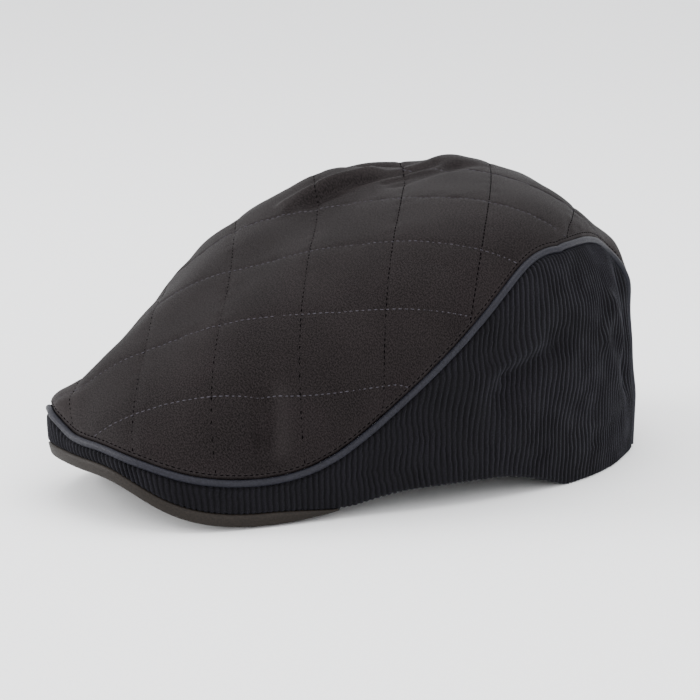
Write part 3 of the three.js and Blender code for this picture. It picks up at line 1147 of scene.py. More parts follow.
@dataclass
class TopPanel:
    """The quilted panel: a dome inside the seam, and a strip down the back."""

    cloth: Cloth
    edge_gap: float = 1.5
    wall: float = 2.0
    tail_columns: int = 76
    dome_rows: int = 128
    lining_rows: int = 20
    quilting: tuple[QuiltLines, QuiltLines] = (LENGTHWISE, CROSSWISE)
    puff: float = 0.35
    puff_reach: float = 3.0
    valley: float = 0.22
    valley_width: float = 0.65
    edge_roll: float = 0.9
    edge_roll_width: float = 1.0
    top_stitch_at: float = 3.1
    top_stitch_groove: float = 0.7
    top_stitch_groove_width: float = 0.7
    pucker: float = 0.16
    pucker_size: float = 7
    pucker_reach: float = 3
    edge_pucker_reach: float = 5
    slack: float = 0.35
    slack_size: float = 34
    # How pale the cloth is painted by wear at its edge and on raised folds, where it is also painted
    # highlight, and the fold height at which the ridges are fully pale.
    wear_and_highlight: float = 0.3
    worn_and_lit_fold: float = 1.6
    lines_each_way: int = 7
    stitch_clearance: float = 0.6
    stitches_within: float = 215
    stitch_hem_share: float = 0.02
    stitch_lowest: float = 1.0

    def _rims(self) -> tuple[Path, list[Path]]:
        """The lines that the dome and the strip down the back are cut to.

        Returns:
            The rim, and the strip's rows from the dome to the hem.
        """
        seam = self.cloth.seam
        left, right = (seam.moved(side, self.edge_gap) for side in (Side.LEFT, Side.RIGHT))
        corner = seam.front + seam.corner
        along = np.linspace(0, 1, self.tail_columns + 1)
        tail = []
        for row in range(seam.tail + 1):
            start, end = left.direction[corner + row], right.direction[corner + row]
            low, high = left.share[corner + row], right.share[corner + row]
            sweep = 2 * np.pi + end - start
            tail.append(Path(start + sweep * along, low + (high - low) * along))
        rim = Path.join(left.part(0, corner), tail[0], right.part(1, corner).reverse())
        return rim, tail

    def _grid(self, rows: int) -> tuple[Path, list[np.ndarray], np.ndarray]:
        """The panel's places and faces.

        Args:
            rows: The number of rows from the rim to the crown's top.

        Returns:
            The places, the arrays of faces, and the places' numbers round the open edge.
        """
        rim, tail = self._rims()
        count = len(rim.share)
        even = 2 * np.pi * np.arange(count) / count
        levels = [rim]
        for level in range(1, rows):
            along = level / rows
            spread = turned(even - rim.direction) * smooth_step(np.array(along))
            levels.append(Path(rim.direction + spread, rim.share + (1 - rim.share) * along))
        places = Path.join(*levels, Path(np.zeros(1), np.ones(1)), *tail[1:])
        ring = np.arange(rows * count).reshape(rows, count)
        top = rows * count
        closed = np.concatenate([ring, ring[:, :1]], axis=1)
        last = closed[-1]
        cap = np.stack([last[:-1], last[1:], np.full(count, top)], -1)
        width = self.tail_columns + 1
        start = self.cloth.seam.front + self.cloth.seam.corner
        strips = top + 1 + np.arange((len(tail) - 1) * width).reshape(-1, width)
        lower = np.concatenate([strips[::-1], ring[:1, start : start + width]])
        edge = np.concatenate(
            [
                ring[0, : start + 1],
                strips[:, 0],
                strips[-1, 1:],
                strips[:-1, -1][::-1],
                ring[0, start + width - 1 :],
            ]
        )
        return places, [sheet_of(closed), cap, sheet_of(lower)], edge

    def dressed(self, direction: np.ndarray, share: np.ndarray) -> tuple[np.ndarray, ...]:
        """The outer face with its quilting, edge roll and small creases.

        Args:
            direction: Directions from the front.
            share: Shares of the way from the hem to the top.

        Returns:
            Points, outward normals, and how pale the cloth is painted, 0 to 1: wear at the edge, and
            wear with painted highlight on the folds' ridges.
        """
        form = self.cloth.form
        points = form.crown(direction, share)
        normals = form.normal(form.crown, direction, share)
        away = self.cloth.from_seam(points)
        inner = np.maximum(0, away - self.edge_gap)
        flat = self.cloth.flat_map(direction, share)
        one, other = (lines.distance(flat) for lines in self.quilting)
        fullness = 1.0
        for distance in (one, other, np.maximum(0, away - self.top_stitch_at)):
            fullness = fullness * (1 - np.exp(-distance / self.puff_reach))
        pinch = sum(np.exp(-((d / self.valley_width) ** 2)) for d in (one, other))
        stitched = np.exp(-(((away - self.top_stitch_at) / self.top_stitch_groove_width) ** 2))
        grooves = pinch + self.top_stitch_groove * stitched
        height = self.puff * fullness - self.valley * grooves
        height -= self.edge_roll * np.exp(-((inner / self.edge_roll_width) ** 2))
        near = np.exp(-np.minimum(one, other) / self.pucker_reach)
        near = np.minimum(1, near + np.exp(-inner / self.edge_pucker_reach))
        height += self.pucker * waves(11, points, self.pucker_size) * near
        height += self.slack * waves(12, points, self.slack_size)
        # The raised folds are painted paler: crease wear, and painted highlight on their ridges.
        ridge = np.clip(form.lift(points, FINE_FOLDS) / self.worn_and_lit_fold, 0, 1)
        wear_and_highlight = self.wear_and_highlight * (np.exp(-((inner - 1) ** 2)) + ridge)
        return points + height[..., None] * normals, normals, np.clip(wear_and_highlight, 0, 1)

    def build(self, finish: bpy.types.Material) -> bpy.types.Object:
        """Makes the panel with its outer and inner face.

        Args:
            finish: The waxed cotton.

        Returns:
            The piece.
        """
        cloth, form = self.cloth, self.cloth.form
        outer, faces, edge = self._grid(self.dome_rows)
        points, _, wear_and_highlight = self.dressed(outer.direction, outer.share)
        inner, lining, inner_edge = self._grid(self.lining_rows)
        normals = form.normal(form.crown, inner.direction, inner.share)
        at_hem = inner.share <= 0
        normals[at_hem] = level(normals[at_hem])
        under = form.crown(inner.direction, inner.share) - self.wall * normals
        count = len(points)
        loop = np.stack([edge, np.roll(edge, -1)], -1)
        inner_loop = count + np.stack([inner_edge, np.roll(inner_edge, -1)], -1)
        joined = np.concatenate([loop[:, ::-1], inner_loop], axis=1)
        everything = [list(face) for part in faces for face in part]
        everything += [list(face[::-1] + count) for part in lining for face in part]
        everything += [list(face) for face in joined]
        flat = cloth.flat_map(
            np.concatenate([outer.direction, inner.direction]),
            np.concatenate([outer.share, inner.share]),
        )
        marks = {WEAR_AND_HIGHLIGHT_MARK: np.concatenate([wear_and_highlight, np.zeros(len(under))])}
        whole = cloth.place(np.concatenate([points, under]))
        return make_mesh("top_panel_cloth", whole, everything, finish, flat * MM, marks)

    def stitch_lines(self, lines: QuiltLines) -> StitchLines:
        """Each unbroken stretch of a family of quilting lines."""
        numbers = range(-self.lines_each_way, self.lines_each_way + 1)
        return [part for k in numbers for part in self._pieces_inside(lines.line(k))]

    def _pieces_inside(self, flat: np.ndarray) -> StitchLines:
        """The stretches of a flat line that lie on the panel, clear of its edge.

        Args:
            flat: The line's places on the flat map, in millimetres.

        Returns:
            The stretches.
        """
        cloth = self.cloth
        path = cloth.from_flat(flat)
        rear = cloth.form.rear_seam_deg * DEG
        limits = []
        for side in (Side.LEFT, Side.RIGHT):
            line = cloth.seam.moved(side, self.edge_gap)
            front = cloth.seam.front + cloth.seam.corner + 1
            order = np.argsort(np.abs(line.direction[:front]))
            heights = line.share[:front][order]
            place = np.abs(line.direction[:front][order])
            limits.append(np.interp(np.abs(path.direction), place, heights))
        limit = np.where(path.direction > 0, limits[0], limits[1])
        limit = np.where(np.abs(path.direction) > rear, self.stitch_hem_share, limit)
        inside = path.share > limit
        points, normals, _ = self.dressed(path.direction, path.share)
        away = cloth.from_seam(cloth.form.crown(path.direction, path.share))
        inside &= away > self.top_stitch_at + self.stitch_clearance
        inside &= lengths(flat) < self.stitches_within
        cuts = np.flatnonzero(np.diff(inside.astype(int))) + 1
        runs = np.split(np.arange(len(inside)), cuts)
        return [(points[r], normals[r]) for r in runs if inside[r[0]] and len(r) > 5]

    def edge_stitches(self) -> StitchLines:
        """The row of stitches that follows the piping all the way round.

        Returns:
            The row, as one line.
        """
        cloth = self.cloth
        left, right = (cloth.seam.moved(s, self.top_stitch_at) for s in (Side.LEFT, Side.RIGHT))
        path = Path.join(right.part(1, None).reverse(), left)
        points, normals, _ = self.dressed(path.direction, path.share)
        clear = points[:, 2] > self.stitch_lowest
        return [(points[clear], normals[clear])]


@dataclass(frozen=True)
class RibLean:
    """How the corduroy's ribs wander sideways on their way up, in millimetres and degrees."""

    slant: float = -0.85
    slant_from_deg: float = -75
    slant_from_span: float = 30
    slant_to_deg: float = 26
    slant_to_span: float = 28
    ear_bend: float = -1.6
    ear_at_deg: float = 62
    ear_half_deg: float = 16
    ear_height: float = 42
    rear_bend: float = 2.4
    rear_at_deg: float = 104
    rear_half_deg: float = 12
    rear_from_height: float = 25
    rear_rise: float = 40
    loose: float = 0.9
    loose_size: float = 42
    loose_rise: float = 12
    fine: float = 0.22
    fine_size: float = 8
    fine_rise: float = 6
    usual_radius: float = 90
    height_weight: float = 1.6
    seam_margin_deg: float = 2
    seam_fade_deg: float = 12

    def at(self, direction: np.ndarray, height: np.ndarray, seam_deg: float) -> np.ndarray:
        """How far a rib has wandered from straight above its foot.

        Args:
            direction: Directions from the front, in radians.
            height: Heights above the rib's foot, in millimetres.
            seam_deg: Where the rear seam lies, in degrees. The ribs run straight beside it.

        Returns:
            The distance sideways, in millimetres.
        """
        degrees = direction / DEG
        front = self.slant * height * smooth_step((self.slant_to_deg - degrees) / self.slant_to_span)
        front = front * smooth_step((degrees - self.slant_from_deg) / self.slant_from_span)
        ear = self.ear_bend * bell(degrees - self.ear_at_deg, self.ear_half_deg)
        ear = ear * np.sin(np.pi * np.clip(height / self.ear_height, 0, 1))
        rear = self.rear_bend * bell(degrees - self.rear_at_deg, self.rear_half_deg)
        rear = rear * smooth_step((height - self.rear_from_height) / self.rear_rise)
        places = np.stack([direction * self.usual_radius, height * self.height_weight], -1)
        loose = self.loose * waves(21, places, self.loose_size)
        loose = loose * smooth_step(height / self.loose_rise)
        fine = self.fine * waves(24, places, self.fine_size) * smooth_step(height / self.fine_rise)
        to_seam = seam_deg - self.seam_margin_deg - np.abs(degrees)
        return (front + ear + rear + loose + fine) * smooth_step(to_seam / self.seam_fade_deg)


class BandColumns(NamedTuple):
    """The band's columns of vertices, each standing on the band's lower edge.

    The last two fields say how many millimetres one radian round the band and one share up
    the crown are at each column's foot.
    """

    direction: np.ndarray
    arc: np.ndarray
    profile: np.ndarray
    low: np.ndarray
    foot: np.ndarray
    tall: np.ndarray
    round_it: np.ndarray
    rise: np.ndarray


class BandRow(NamedTuple):
    """One row of the band's vertices, with its ridge marks and its flat places."""

    points: np.ndarray
    ridge: np.ndarray
    flat: np.ndarray


@dataclass
class SideBand:
    """The corduroy band: ribs by the wale, low round the front and high at each side."""

    cloth: Cloth
    lean: RibLean = RibLean()
    edge_gap: float = 1.45
    wall: float = 2.0
    wale_pitch: float = 2.35
    wale_depth: float = 0.55
    wale_steps: int = 6
    wale_fullness: float = 0.6
    wale_middle: float = 0.65
    wale_uneven: float = 0.3
    wale_uneven_size: float = 9
    rows: int = 40
    row_crowding: float = 0.9
    lining_rows: int = 5
    lining_ridge: float = 0.4
    hem_radius: float = 1.0
    hem_turns: tuple[float, ...] = (90, 60, 30, 0)
    edge_roll: float = 0.8
    edge_roll_width: float = 0.9
    slack: float = 0.3
    slack_size: float = 26
    slack_reach: float = 4
    rear_radius: float = 103

    def _columns(self) -> BandColumns:
        """The ribs' columns, evenly spaced along the band's lower edge.

        Returns:
            The columns, with arc lengths measured from the front's middle.
        """
        form = self.cloth.form
        end = form.rear_seam_deg * DEG - self.edge_gap / self.rear_radius
        around = np.linspace(-end, end, 4001)
        edge = form.crown(around, form.share_at(around, self._low_height(around)))
        arc = np.concatenate([[0], np.cumsum(lengths(np.diff(edge, axis=0)))])
        arc -= np.interp(0, around, arc)
        wales = int((arc[-1] - arc[0]) / self.wale_pitch)
        places = np.linspace(arc[0], arc[-1], wales * self.wale_steps + 1)
        turn = 2 * np.pi * np.arange(len(places)) / self.wale_steps
        profile = (0.5 - 0.5 * np.cos(turn)) ** self.wale_fullness
        direction = np.interp(places, arc, around)
        low = form.share_at(direction, self._low_height(direction))
        foot = form.crown(direction, low)
        tall = form.crown(direction, self._upper_share(direction))[:, 2] - foot[:, 2]
        round_it = lengths(form.crown(direction + STEP, low) - foot) / STEP
        rise = lengths(form.crown(direction, low + STEP) - foot) / STEP
        return BandColumns(direction, places, profile, low, foot, tall, round_it, rise)

    def _low_height(self, direction: np.ndarray) -> np.ndarray:
        """Height of the band's lower edge: the hem, or the top of the peak's rim."""
        rim = self.cloth.form.rim_showing(direction)
        return self.cloth.form.hem_height(direction) + rim

    def _upper_share(self, direction: np.ndarray) -> np.ndarray:
        """Where the band meets the piping.

        Args:
            direction: Directions from the front, in radians.

        Returns:
            The share at each of them.
        """
        found = []
        for side in (Side.LEFT, Side.RIGHT):
            seam = self.cloth.seam
            line = seam.moved(side, -self.edge_gap).part(0, seam.front + seam.corner + 1)
            order = np.argsort(np.abs(line.direction))
            near = np.abs(direction)
            found.append(np.interp(near, np.abs(line.direction)[order], line.share[order]))
        return np.where(direction > 0, found[0], found[1])

    def _face_row(self, at: BandColumns, tilt: float, start: float, fraction: float) -> BandRow:
        """One row of the ribbed face.

        Args:
            at: The band's columns.
            tilt: How far the row has turned under at the rounded hem, in radians.
            start: Height above the lower edge at which the fractions begin, in millimetres.
            fraction: How far the row lies from there to the piping, 0 to 1.

        Returns:
            The row.
        """
        form = self.cloth.form
        height = start + (at.tall - start) * fraction
        lean = self.lean.at(at.direction, height, form.rear_seam_deg)
        direction = at.direction + lean / at.round_it
        foot = at.low + start / at.rise
        share = foot + (self._upper_share(direction) - foot) * fraction
        points = form.crown(direction, share)
        normals = form.normal(form.crown, direction, share)
        if tilt:
            normals = level(normals)
            points[:, 2] = at.foot[:, 2] + start
        points = points - self.hem_radius * (1 - math.cos(tilt)) * normals
        aim = normals * math.cos(tilt)
        aim[:, 2] -= math.sin(tilt)
        inner = np.maximum(0, self.cloth.from_seam(points) - self.edge_gap)
        uneven = 1 + self.wale_uneven * waves(22, points, self.wale_uneven_size)
        rib = self.wale_depth * (at.profile - self.wale_middle) * uneven
        roll = self.edge_roll * np.exp(-((inner / self.edge_roll_width) ** 2))
        slack = self.slack * waves(23, points, self.slack_size) * (tilt == 0)
        slack = slack * (1 - np.exp(-inner / self.slack_reach))
        points = points + (rib - roll + slack)[:, None] * aim
        return BandRow(points, at.profile, np.stack([at.arc, height], -1))

    def _face(self, at: BandColumns) -> list[BandRow]:
        """The ribbed face's rows, from under the rounded hem up to the piping.

        Args:
            at: The band's columns.

        Returns:
            The rows, lowest first.
        """
        turns = np.radians(self.hem_turns)
        starts = self.hem_radius * (1 - np.sin(turns))
        rows = [self._face_row(at, tilt, start, 0.0) for tilt, start in zip(turns, starts)]
        fractions = np.linspace(0, 1, self.rows) ** self.row_crowding
        return rows + [self._face_row(at, 0.0, starts[-1], part) for part in fractions[1:]]

    def _lining(self, at: BandColumns) -> list[BandRow]:
        """The plain inner face's rows.

        Args:
            at: The band's columns.

        Returns:
            The rows, lowest first.
        """
        form, rows = self.cloth.form, []
        upper = self._upper_share(at.direction)
        for fraction in np.linspace(0, 1, self.lining_rows):
            share = at.low + (upper - at.low) * fraction
            normals = form.normal(form.crown, at.direction, share)
            if fraction == 0:
                normals = level(normals)
            points = form.crown(at.direction, share) - self.wall * normals
            ridge = np.full_like(at.profile, self.lining_ridge)
            rows.append(BandRow(points, ridge, np.stack([at.arc, at.tall * fraction], -1)))
        return rows

    def build(self, finish: bpy.types.Material) -> bpy.types.Object:
        """Makes the band.

        Args:
            finish: The corduroy.

        Returns:
            The piece.
        """
        columns = self._columns()
        face, lining = self._face(columns), self._lining(columns)
        rows = face + lining
        grid = np.arange(len(rows) * len(columns.arc)).reshape(len(rows), -1)
        faces = capped_tube(np.concatenate([grid[len(face) :][::-1], grid[: len(face)]]))
        points = self.cloth.place(np.concatenate([row.points for row in rows]))
        flat = np.concatenate([row.flat for row in rows]) * MM
        ridge = {RIB_SHADE_AND_SHEEN_MARK: np.concatenate([row.ridge for row in rows])}
        return make_mesh("side_band_corduroy", points, faces, finish, flat, ridge)


class PeakRun(NamedTuple):
    """The peak's columns round the front: what shows of each, and the level way inwards."""

    direction: np.ndarray
    hem: np.ndarray
    showing: np.ndarray
    inward: np.ndarray


@dataclass
class Peak:
    """The stiff covered peak, with a rounded rim that shows below the band."""

    cloth: Cloth
    span_deg: float = 39.5
    columns: int = 220
    thickness: float = 2.6
    slope: float = 0.14
    proud: float = 0.5
    shelf_depth: float = 2.85
    inner_margin: float = 3.0
    rim_round: float = 1.3
    rim_turns: tuple[float, ...] = (90, 67, 45, 22, 0)
    face_places: tuple[float, ...] = (0.6, 0.92)
    tuck: float = 0.3
    gap: float = 0.15
    plate_steps: int = 16

    def _run(self) -> PeakRun:
        """The peak's columns, from the right corner to the left.

        Returns:
            The columns.
        """
        form = self.cloth.form
        direction = np.linspace(-self.span_deg, self.span_deg, self.columns) * DEG
        hem = form.hem_height(direction)
        showing = form.rim_showing(direction) - self.gap
        share = form.share_at(direction, hem + showing)
        inward = -level(form.normal(form.crown, direction, share))
        return PeakRun(direction, hem, showing, inward)

    def _edge(self, run: PeakRun, height: np.ndarray, depth: float) -> np.ndarray:
        """A row that follows the crown's face.

        Args:
            run: The peak's columns.
            height: The row's heights, in millimetres.
            depth: How far the row lies behind the face, in millimetres.

        Returns:
            The row's points.
        """
        form = self.cloth.form
        points = form.crown(run.direction, form.share_at(run.direction, height))
        points = points + depth * run.inward
        points[:, 2] = height
        return points

    def _rim(self, run: PeakRun) -> list[np.ndarray]:
        """The rim that shows, from its rounded lower edge up to the band.

        Args:
            run: The peak's columns.

        Returns:
            The rows, lowest first.
        """
        rows = []
        for angle in np.radians(self.rim_turns):
            depth = self.rim_round * (1 - math.cos(angle)) - self.proud
            up = np.minimum(self.rim_round * (1 - math.sin(angle)), run.showing / 2)
            rows.append(self._edge(run, run.hem + up, depth))
        for place in self.face_places:
            rows.append(self._edge(run, run.hem + run.showing * place, -self.proud))
        return [*rows, self._edge(run, run.hem + run.showing, self.tuck)]

    def _plate(self, run: PeakRun, under: np.ndarray, over: np.ndarray) -> list[np.ndarray]:
        """The plate inside the cap: its upper face inwards, and its under face outwards.

        Args:
            run: The peak's columns.
            under: The row where the under face meets the rim.
            over: The row where the upper face meets the rim.

        Returns:
            The rows.
        """
        form = self.cloth.form
        inner = form.head_radius(run.direction) - self.inner_margin
        up = run.hem + self.slope * form.reach(run.direction)
        foot = np.stack([inner * np.sin(run.direction), -inner * np.cos(run.direction), up], -1)
        top = foot + np.array([0, 0, self.thickness])
        along = np.linspace(0, 1, self.plate_steps + 1)
        rows = [over + (top - over) * part for part in along]
        return rows + [foot + (under - foot) * part for part in along[:-1]]

    def build(self, finish: bpy.types.Material) -> bpy.types.Object:
        """Makes the peak.

        Args:
            finish: The peak's cloth.

        Returns:
            The piece.
        """
        run = self._run()
        under = self._edge(run, run.hem, self.shelf_depth)
        over = self._edge(run, run.hem + run.showing, self.shelf_depth)
        rows = [under, *self._rim(run), *self._plate(run, under, over)]
        grid = np.arange(len(rows) * self.columns).reshape(-1, self.columns)
        arc = np.concatenate([[0], np.cumsum(lengths(np.diff(under, axis=0)))])
        depth = np.cumsum([0] + [lengths(b - a).mean() for a, b in zip(rows, rows[1:])])
        flat = np.stack(np.broadcast_arrays(arc[None, :], depth[:, None]), -1).reshape(-1, 2)
        points = self.cloth.place(np.concatenate(rows))
        return make_mesh("peak_cover", points, capped_tube(grid), finish, flat * MM)


class GeometryTree:
    """A Geometry Nodes tree with named inputs, and a way to run it on a mesh."""

    def __init__(self, name: str, inputs: tuple[tuple[str, str], ...]) -> None:
        """Makes the tree.

        Args:
            name: The tree's name.
            inputs: (name, socket type) of each input after the geometry.
        """
        self.tree = bpy.data.node_groups.new(name, "GeometryNodeTree")
        face = self.tree.interface
        face.new_socket("Geometry", in_out="INPUT", socket_type="NodeSocketGeometry")
        for label, kind in inputs:
            face.new_socket(label, in_out="INPUT", socket_type=kind)
        face.new_socket("Geometry", in_out="OUTPUT", socket_type="NodeSocketGeometry")
        self.nodes = Nodes(self.tree)
        self.given = self.nodes.add("NodeGroupInput").outputs

    def end(self, geometry: bpy.types.NodeSocket) -> None:
        """Ends the tree: instances made real, smooth shading and the given material.

        Args:
            geometry: What the tree has made.
        """
        n = self.nodes
        real = n.add("GeometryNodeRealizeInstances", values={0: geometry}).outputs[0]
        smooth = n.add("GeometryNodeSetShadeSmooth", values={0: real}).outputs[0]
        values = {"Geometry": smooth, "Material": self.given["Material"]}
        dressed = n.add("GeometryNodeSetMaterial", values=values).outputs[0]
        n.add("NodeGroupOutput", values={"Geometry": dressed})

    def run(self, name: str, mesh: bpy.types.Mesh, values: dict) -> bpy.types.Object:
        """Runs the tree on a mesh and keeps the result as a plain mesh.

        Args:
            name: The new piece's name.
            mesh: What the tree starts from.
            values: The tree's inputs, by name.

        Returns:
            The piece.
        """
        carrier = bpy.data.objects.new(name + "_path", mesh)
        bpy.context.scene.collection.objects.link(carrier)
        modifier = carrier.modifiers.new(self.tree.name, "NODES")
        modifier.node_group = self.tree
        for item in self.tree.interface.items_tree:
            if item.in_out == "INPUT" and item.name in values:
                modifier[item.identifier] = values[item.name]
        carrier.update_tag()
        bpy.context.view_layer.update()
        seen = carrier.evaluated_get(bpy.context.evaluated_depsgraph_get())
        result = bpy.data.meshes.new_from_object(seen)
        carrier.modifiers.remove(modifier)
        bpy.data.objects.remove(carrier)
        result.name = name
        piece = bpy.data.objects.new(name, result)
        bpy.context.scene.collection.objects.link(piece)
        return piece


def path_mesh(name: str, lines: StitchLines) -> bpy.types.Mesh:
    """A mesh of edges along lines, with the cloth's normal kept at each vertex.

    Args:
        name: The mesh's name.
        lines: Points, in metres here, and normals of each line.

    Returns:
        The mesh.
    """
    points, normals, edges = [], [], []
    for line, normal in lines:
        start = sum(map(len, points))
        points.append(line)
        normals.append(normal)
        edges += [(start + i, start + i + 1) for i in range(len(line) - 1)]
    mesh = bpy.data.meshes.new(name)
    mesh.from_pydata(np.concatenate(points).tolist(), edges, [])
    attribute = mesh.attributes.new(NORMAL_MARK, "FLOAT_VECTOR", "POINT")
    attribute.data.foreach_set("vector", np.concatenate(normals).astype(np.float32).ravel())
    return mesh


@dataclass
class StitchMaker:
    """Rows of stitches laid along lines on the cloth. Lengths are in millimetres."""

    cloth: Cloth
    pitch: float = 2.35
    length: float = 1.75
    flatness: float = 0.7
    lift: float = 0.05

    def __post_init__(self) -> None:
        """Builds the tree: a small bead of thread at each pitch, along the line."""
        floats = ("Pitch", "Length", "Width", "Thickness")
        inputs = tuple((label, "NodeSocketFloat") for label in floats)
        self.maker = GeometryTree("stitch_row", (*inputs, ("Material", "NodeSocketMaterial")))
        n, given = self.maker.nodes, self.maker.given
        curve = n.add("GeometryNodeMeshToCurve", values={0: given["Geometry"]}).outputs[0]
        spaced = n.add(
            "GeometryNodeResampleCurve",
            mode="LENGTH",
            values={"Curve": curve, "Length": given["Pitch"]},
        ).outputs[0]
        bead = n.add(
            "GeometryNodeMeshUVSphere", values={"Segments": 6, "Rings": 5, "Radius": 0.5}
        ).outputs[0]
        along = n.add("GeometryNodeInputTangent").outputs[0]
        facing = n.add("GeometryNodeInputNamedAttribute", data_type="FLOAT_VECTOR")
        facing.inputs["Name"].default_value = NORMAL_MARK
        first = n.add("FunctionNodeAlignRotationToVector", axis="X", values={"Vector": along})
        turn = n.add(
            "FunctionNodeAlignRotationToVector",
            axis="Z",
            pivot_axis="X",
            values={"Rotation": first.outputs[0], "Vector": facing.outputs[0]},
        )
        size = n.add(
            "ShaderNodeCombineXYZ",
            values={0: given["Length"], 1: given["Width"], 2: given["Thickness"]},
        ).outputs[0]
        rows = n.add(
            "GeometryNodeInstanceOnPoints",
            values={
                "Points": spaced,
                "Instance": bead,
                "Rotation": turn.outputs[0],
                "Scale": size,
            },
        ).outputs[0]
        self.maker.end(rows)

    def sew(
        self,
        name: str,
        lines: StitchLines,
        thread: bpy.types.Material,
        width: float,
    ) -> bpy.types.Object:
        """Sews rows of stitches.

        Args:
            name: The piece's name.
            lines: The rows.
            thread: The thread's finish.
            width: A stitch's width, in millimetres.

        Returns:
            The piece.
        """
        placed = [(self.cloth.place(p + self.lift * n), n) for p, n in lines]
        values = {
            "Pitch": self.pitch * MM,
            "Length": self.length * MM,
            "Width": width * MM,
            "Thickness": self.flatness * width * MM,
            "Material": thread,
        }
        return self.maker.run(name, path_mesh(name, placed), values)


@dataclass
class Piping:
    """The covered cord in the seam, made as a tube that follows the seam's line."""

    cloth: Cloth
    radius: float = 1.45
    sides: int = 14
    sink: float = 0.55
    end_clearance: float = 0.9
    wander: float = 0.12
    wander_size: float = 17
    steps: tuple[int, int, int] = (230, 80, 110)

    def _tree(self) -> GeometryTree:
        """The tree that makes a tube along a line.

        Returns:
            The tree.
        """
        inputs = (
            ("Bead radius", "NodeSocketFloat"),
            ("Sides", "NodeSocketInt"),
            ("Material", "NodeSocketMaterial"),
        )
        maker = GeometryTree("piping_bead", inputs)
        n, given = maker.nodes, maker.given
        curve = n.add("GeometryNodeMeshToCurve", values={0: given["Geometry"]}).outputs[0]
        profile = n.add(
            "GeometryNodeCurvePrimitiveCircle",
            values={"Resolution": given["Sides"], "Radius": given["Bead radius"]},
        ).outputs[0]
        values = {"Curve": curve, "Profile Curve": profile, "Fill Caps": True}
        maker.end(n.add("GeometryNodeCurveToMesh", values=values).outputs[0])
        return maker

    def build(self, finish: bpy.types.Material) -> bpy.types.Object:
        """Makes the piping from one rear hem round the front to the other.

        Args:
            finish: The piping's cloth.

        Returns:
            The piece.
        """
        form = self.cloth.form
        path = Seam(form, *self.steps).whole()
        points = form.crown(path.direction, path.share)
        normals = form.normal(form.crown, path.direction, path.share)
        height = self.wander * waves(31, points, self.wander_size) - self.sink
        centres = points + height[:, None] * normals
        clear = centres[:, 2] > self.end_clearance
        mesh = path_mesh("piping_line", [(self.cloth.place(centres[clear]), normals[clear])])
        values = {"Bead radius": self.radius * MM, "Sides": self.sides, "Material": finish}
        return self._tree().run("piping_cord", mesh, values)


class SoftBox(NamedTuple):
    """A square light turned to the cap. Lengths are in metres and its power is in watts."""

    name: str
    place: tuple[float, float, float]
    size: float
    power: float


SOFT_BOXES = (
    SoftBox("top_box", (0.1, 0.1, 1.2), 1.2, 10.0),
    SoftBox("left_box", (-1.0, -1.1, 0.7), 0.8, 26.0),
    SoftBox("right_box", (1.3, -0.5, 0.6), 0.9, 8.0),
)


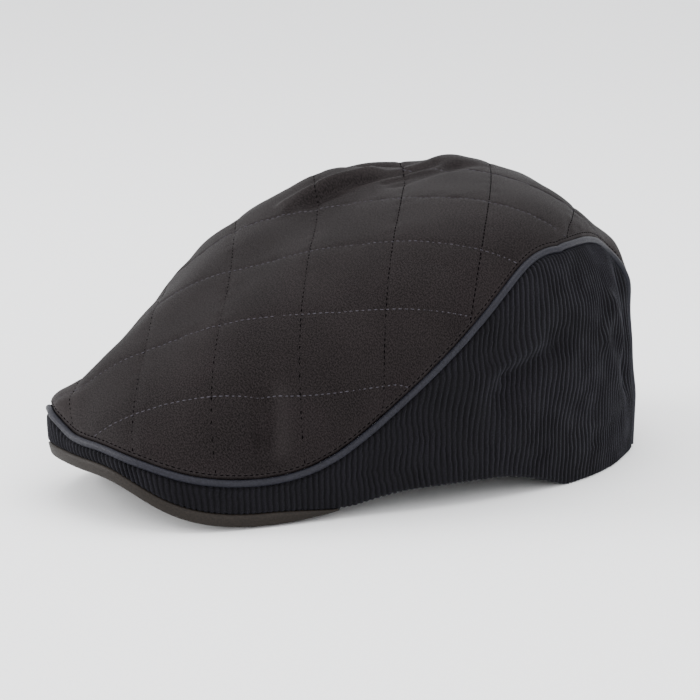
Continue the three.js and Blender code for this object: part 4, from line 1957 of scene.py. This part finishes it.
@dataclass
class Studio:
    """The pale floor, the soft lights and the camera."""

    cloth: Cloth
    azimuth_deg: float = 50.0
    elevation_deg: float = 12.0
    distance: float = 1300.0
    target_height: float = 60.0
    focal_px: float = 3159.0
    image_px: int = 700
    target_px: tuple[float, float] = (388.0, 312.0)
    sensor_mm: float = 36.0
    floor_half: float = 6.0
    floor_drop: float = 0.0002
    sky: Colour = (0.97, 0.98, 1, 1)
    sky_strength: float = 1.9
    lights_aim: tuple[float, float, float] = (0, 0, 0.05)

    def _axes(self) -> tuple[Vector, Vector, Vector]:
        """The camera's own directions.

        Returns:
            The way to its right, its way up and the way back from its target.
        """
        a, e = math.radians(self.azimuth_deg), math.radians(self.elevation_deg)
        back = Vector((math.sin(a) * math.cos(e), -math.cos(a) * math.cos(e), math.sin(e)))
        right = Vector((math.cos(a), math.sin(a), 0))
        return right, back.cross(right), back

    def camera(self) -> None:
        """Sets up the camera, aimed beside its target so that the cap sits off centre."""
        right, up, back = self._axes()
        target = Vector(self.cloth.shift) * MM
        target.z = (self.target_height + self.cloth.shift[2]) * MM
        eye = target + back * self.distance * MM
        scale = self.distance * MM / self.focal_px
        aim = target - right * (self.target_px[0] - self.image_px / 2) * scale
        aim += up * (self.target_px[1] - self.image_px / 2) * scale
        lens = bpy.data.cameras.new("camera")
        lens.sensor_width = self.sensor_mm
        lens.lens = self.focal_px / self.image_px * lens.sensor_width
        lens.clip_start, lens.clip_end = 0.05, 30
        holder = bpy.data.objects.new("camera", lens)
        bpy.context.scene.collection.objects.link(holder)
        holder.location = eye
        holder.rotation_mode = "QUATERNION"
        holder.rotation_quaternion = (eye - aim).to_track_quat("Z", "Y")
        bpy.context.scene.camera = holder

    def floor(self) -> None:
        """Lays the floor."""
        half, low = self.floor_half, CAD_BOUNDS[0][2] - self.floor_drop
        signs = ((-1, -1), (1, -1), (1, 1), (-1, 1))
        corners = np.array([[x * half, y * half, low] for x, y in signs])
        ground = make_mesh("floor", corners, [[0, 1, 2, 3]], FLOOR_PAPER.build())

    def lights(self) -> None:
        """Hangs three soft boxes and sets the pale surroundings."""
        world = bpy.data.worlds.new("studio")
        world.use_nodes = True
        sky = world.node_tree.nodes["Background"]
        sky.inputs["Color"].default_value = self.sky
        sky.inputs["Strength"].default_value = self.sky_strength
        bpy.context.scene.world = world
        for name, place, size, power in SOFT_BOXES:
            light = bpy.data.lights.new(name, "AREA")
            light.shape, light.size, light.energy = "SQUARE", size, power
            holder = bpy.data.objects.new(name, light)
            bpy.context.scene.collection.objects.link(holder)
            holder.location = place
            aim = Vector(self.lights_aim) - holder.location
            holder.rotation_mode = "QUATERNION"
            holder.rotation_quaternion = aim.to_track_quat("-Z", "Y")


@dataclass
class FlatCap:
    """The whole cap, piece by piece."""

    cloth: Cloth
    shop: Workshop = field(default_factory=Workshop)

    def build(self) -> None:
        """Makes every piece and attaches it to the body."""
        cotton = WAXED_COTTON.build(self.shop)
        panel = TopPanel(self.cloth)
        top = dress(panel.build(cotton), "waxed_cotton", "top_panel")
        band = SideBand(self.cloth).build(CorduroyFinish().build(self.shop))
        dress(band, "corduroy", "side_band")
        piping = Piping(self.cloth).build(PIPING_CLOTH.build(self.shop))
        dress(piping, "piping_cloth", "piping")
        dress(Peak(self.cloth).build(PEAK_CLOTH.build(self.shop)), "peak_cloth", "peak")
        sewing = StitchMaker(self.cloth)
        pale, dark = PALE_THREAD.build(), DARK_THREAD.build()
        rows = (
            ("quilting_stitches_along", panel.stitch_lines(LENGTHWISE), dark, 0.5),
            ("quilting_stitches_across", panel.stitch_lines(CROSSWISE), pale, 0.58),
            ("edge_stitches", panel.edge_stitches(), dark, 0.42),
        )
        for name, lines, thread, width in rows:
            piece = sewing.sew(name, lines, thread, width)
            dress(piece, "waxed_cotton")


def main() -> None:
    """Builds the cap and its surroundings."""
    logging.basicConfig(level=logging.INFO, format="%(name)s: %(message)s")
    cloth = Cloth(CapForm(), CAD_BOUNDS)
    LOG.info("form moved by %s mm", np.round(cloth.shift, 2))
    studio = Studio(cloth)
    studio.camera()
    studio.floor()
    studio.lights()
    FlatCap(cloth).build()


if __name__ == "__main__":
    main()
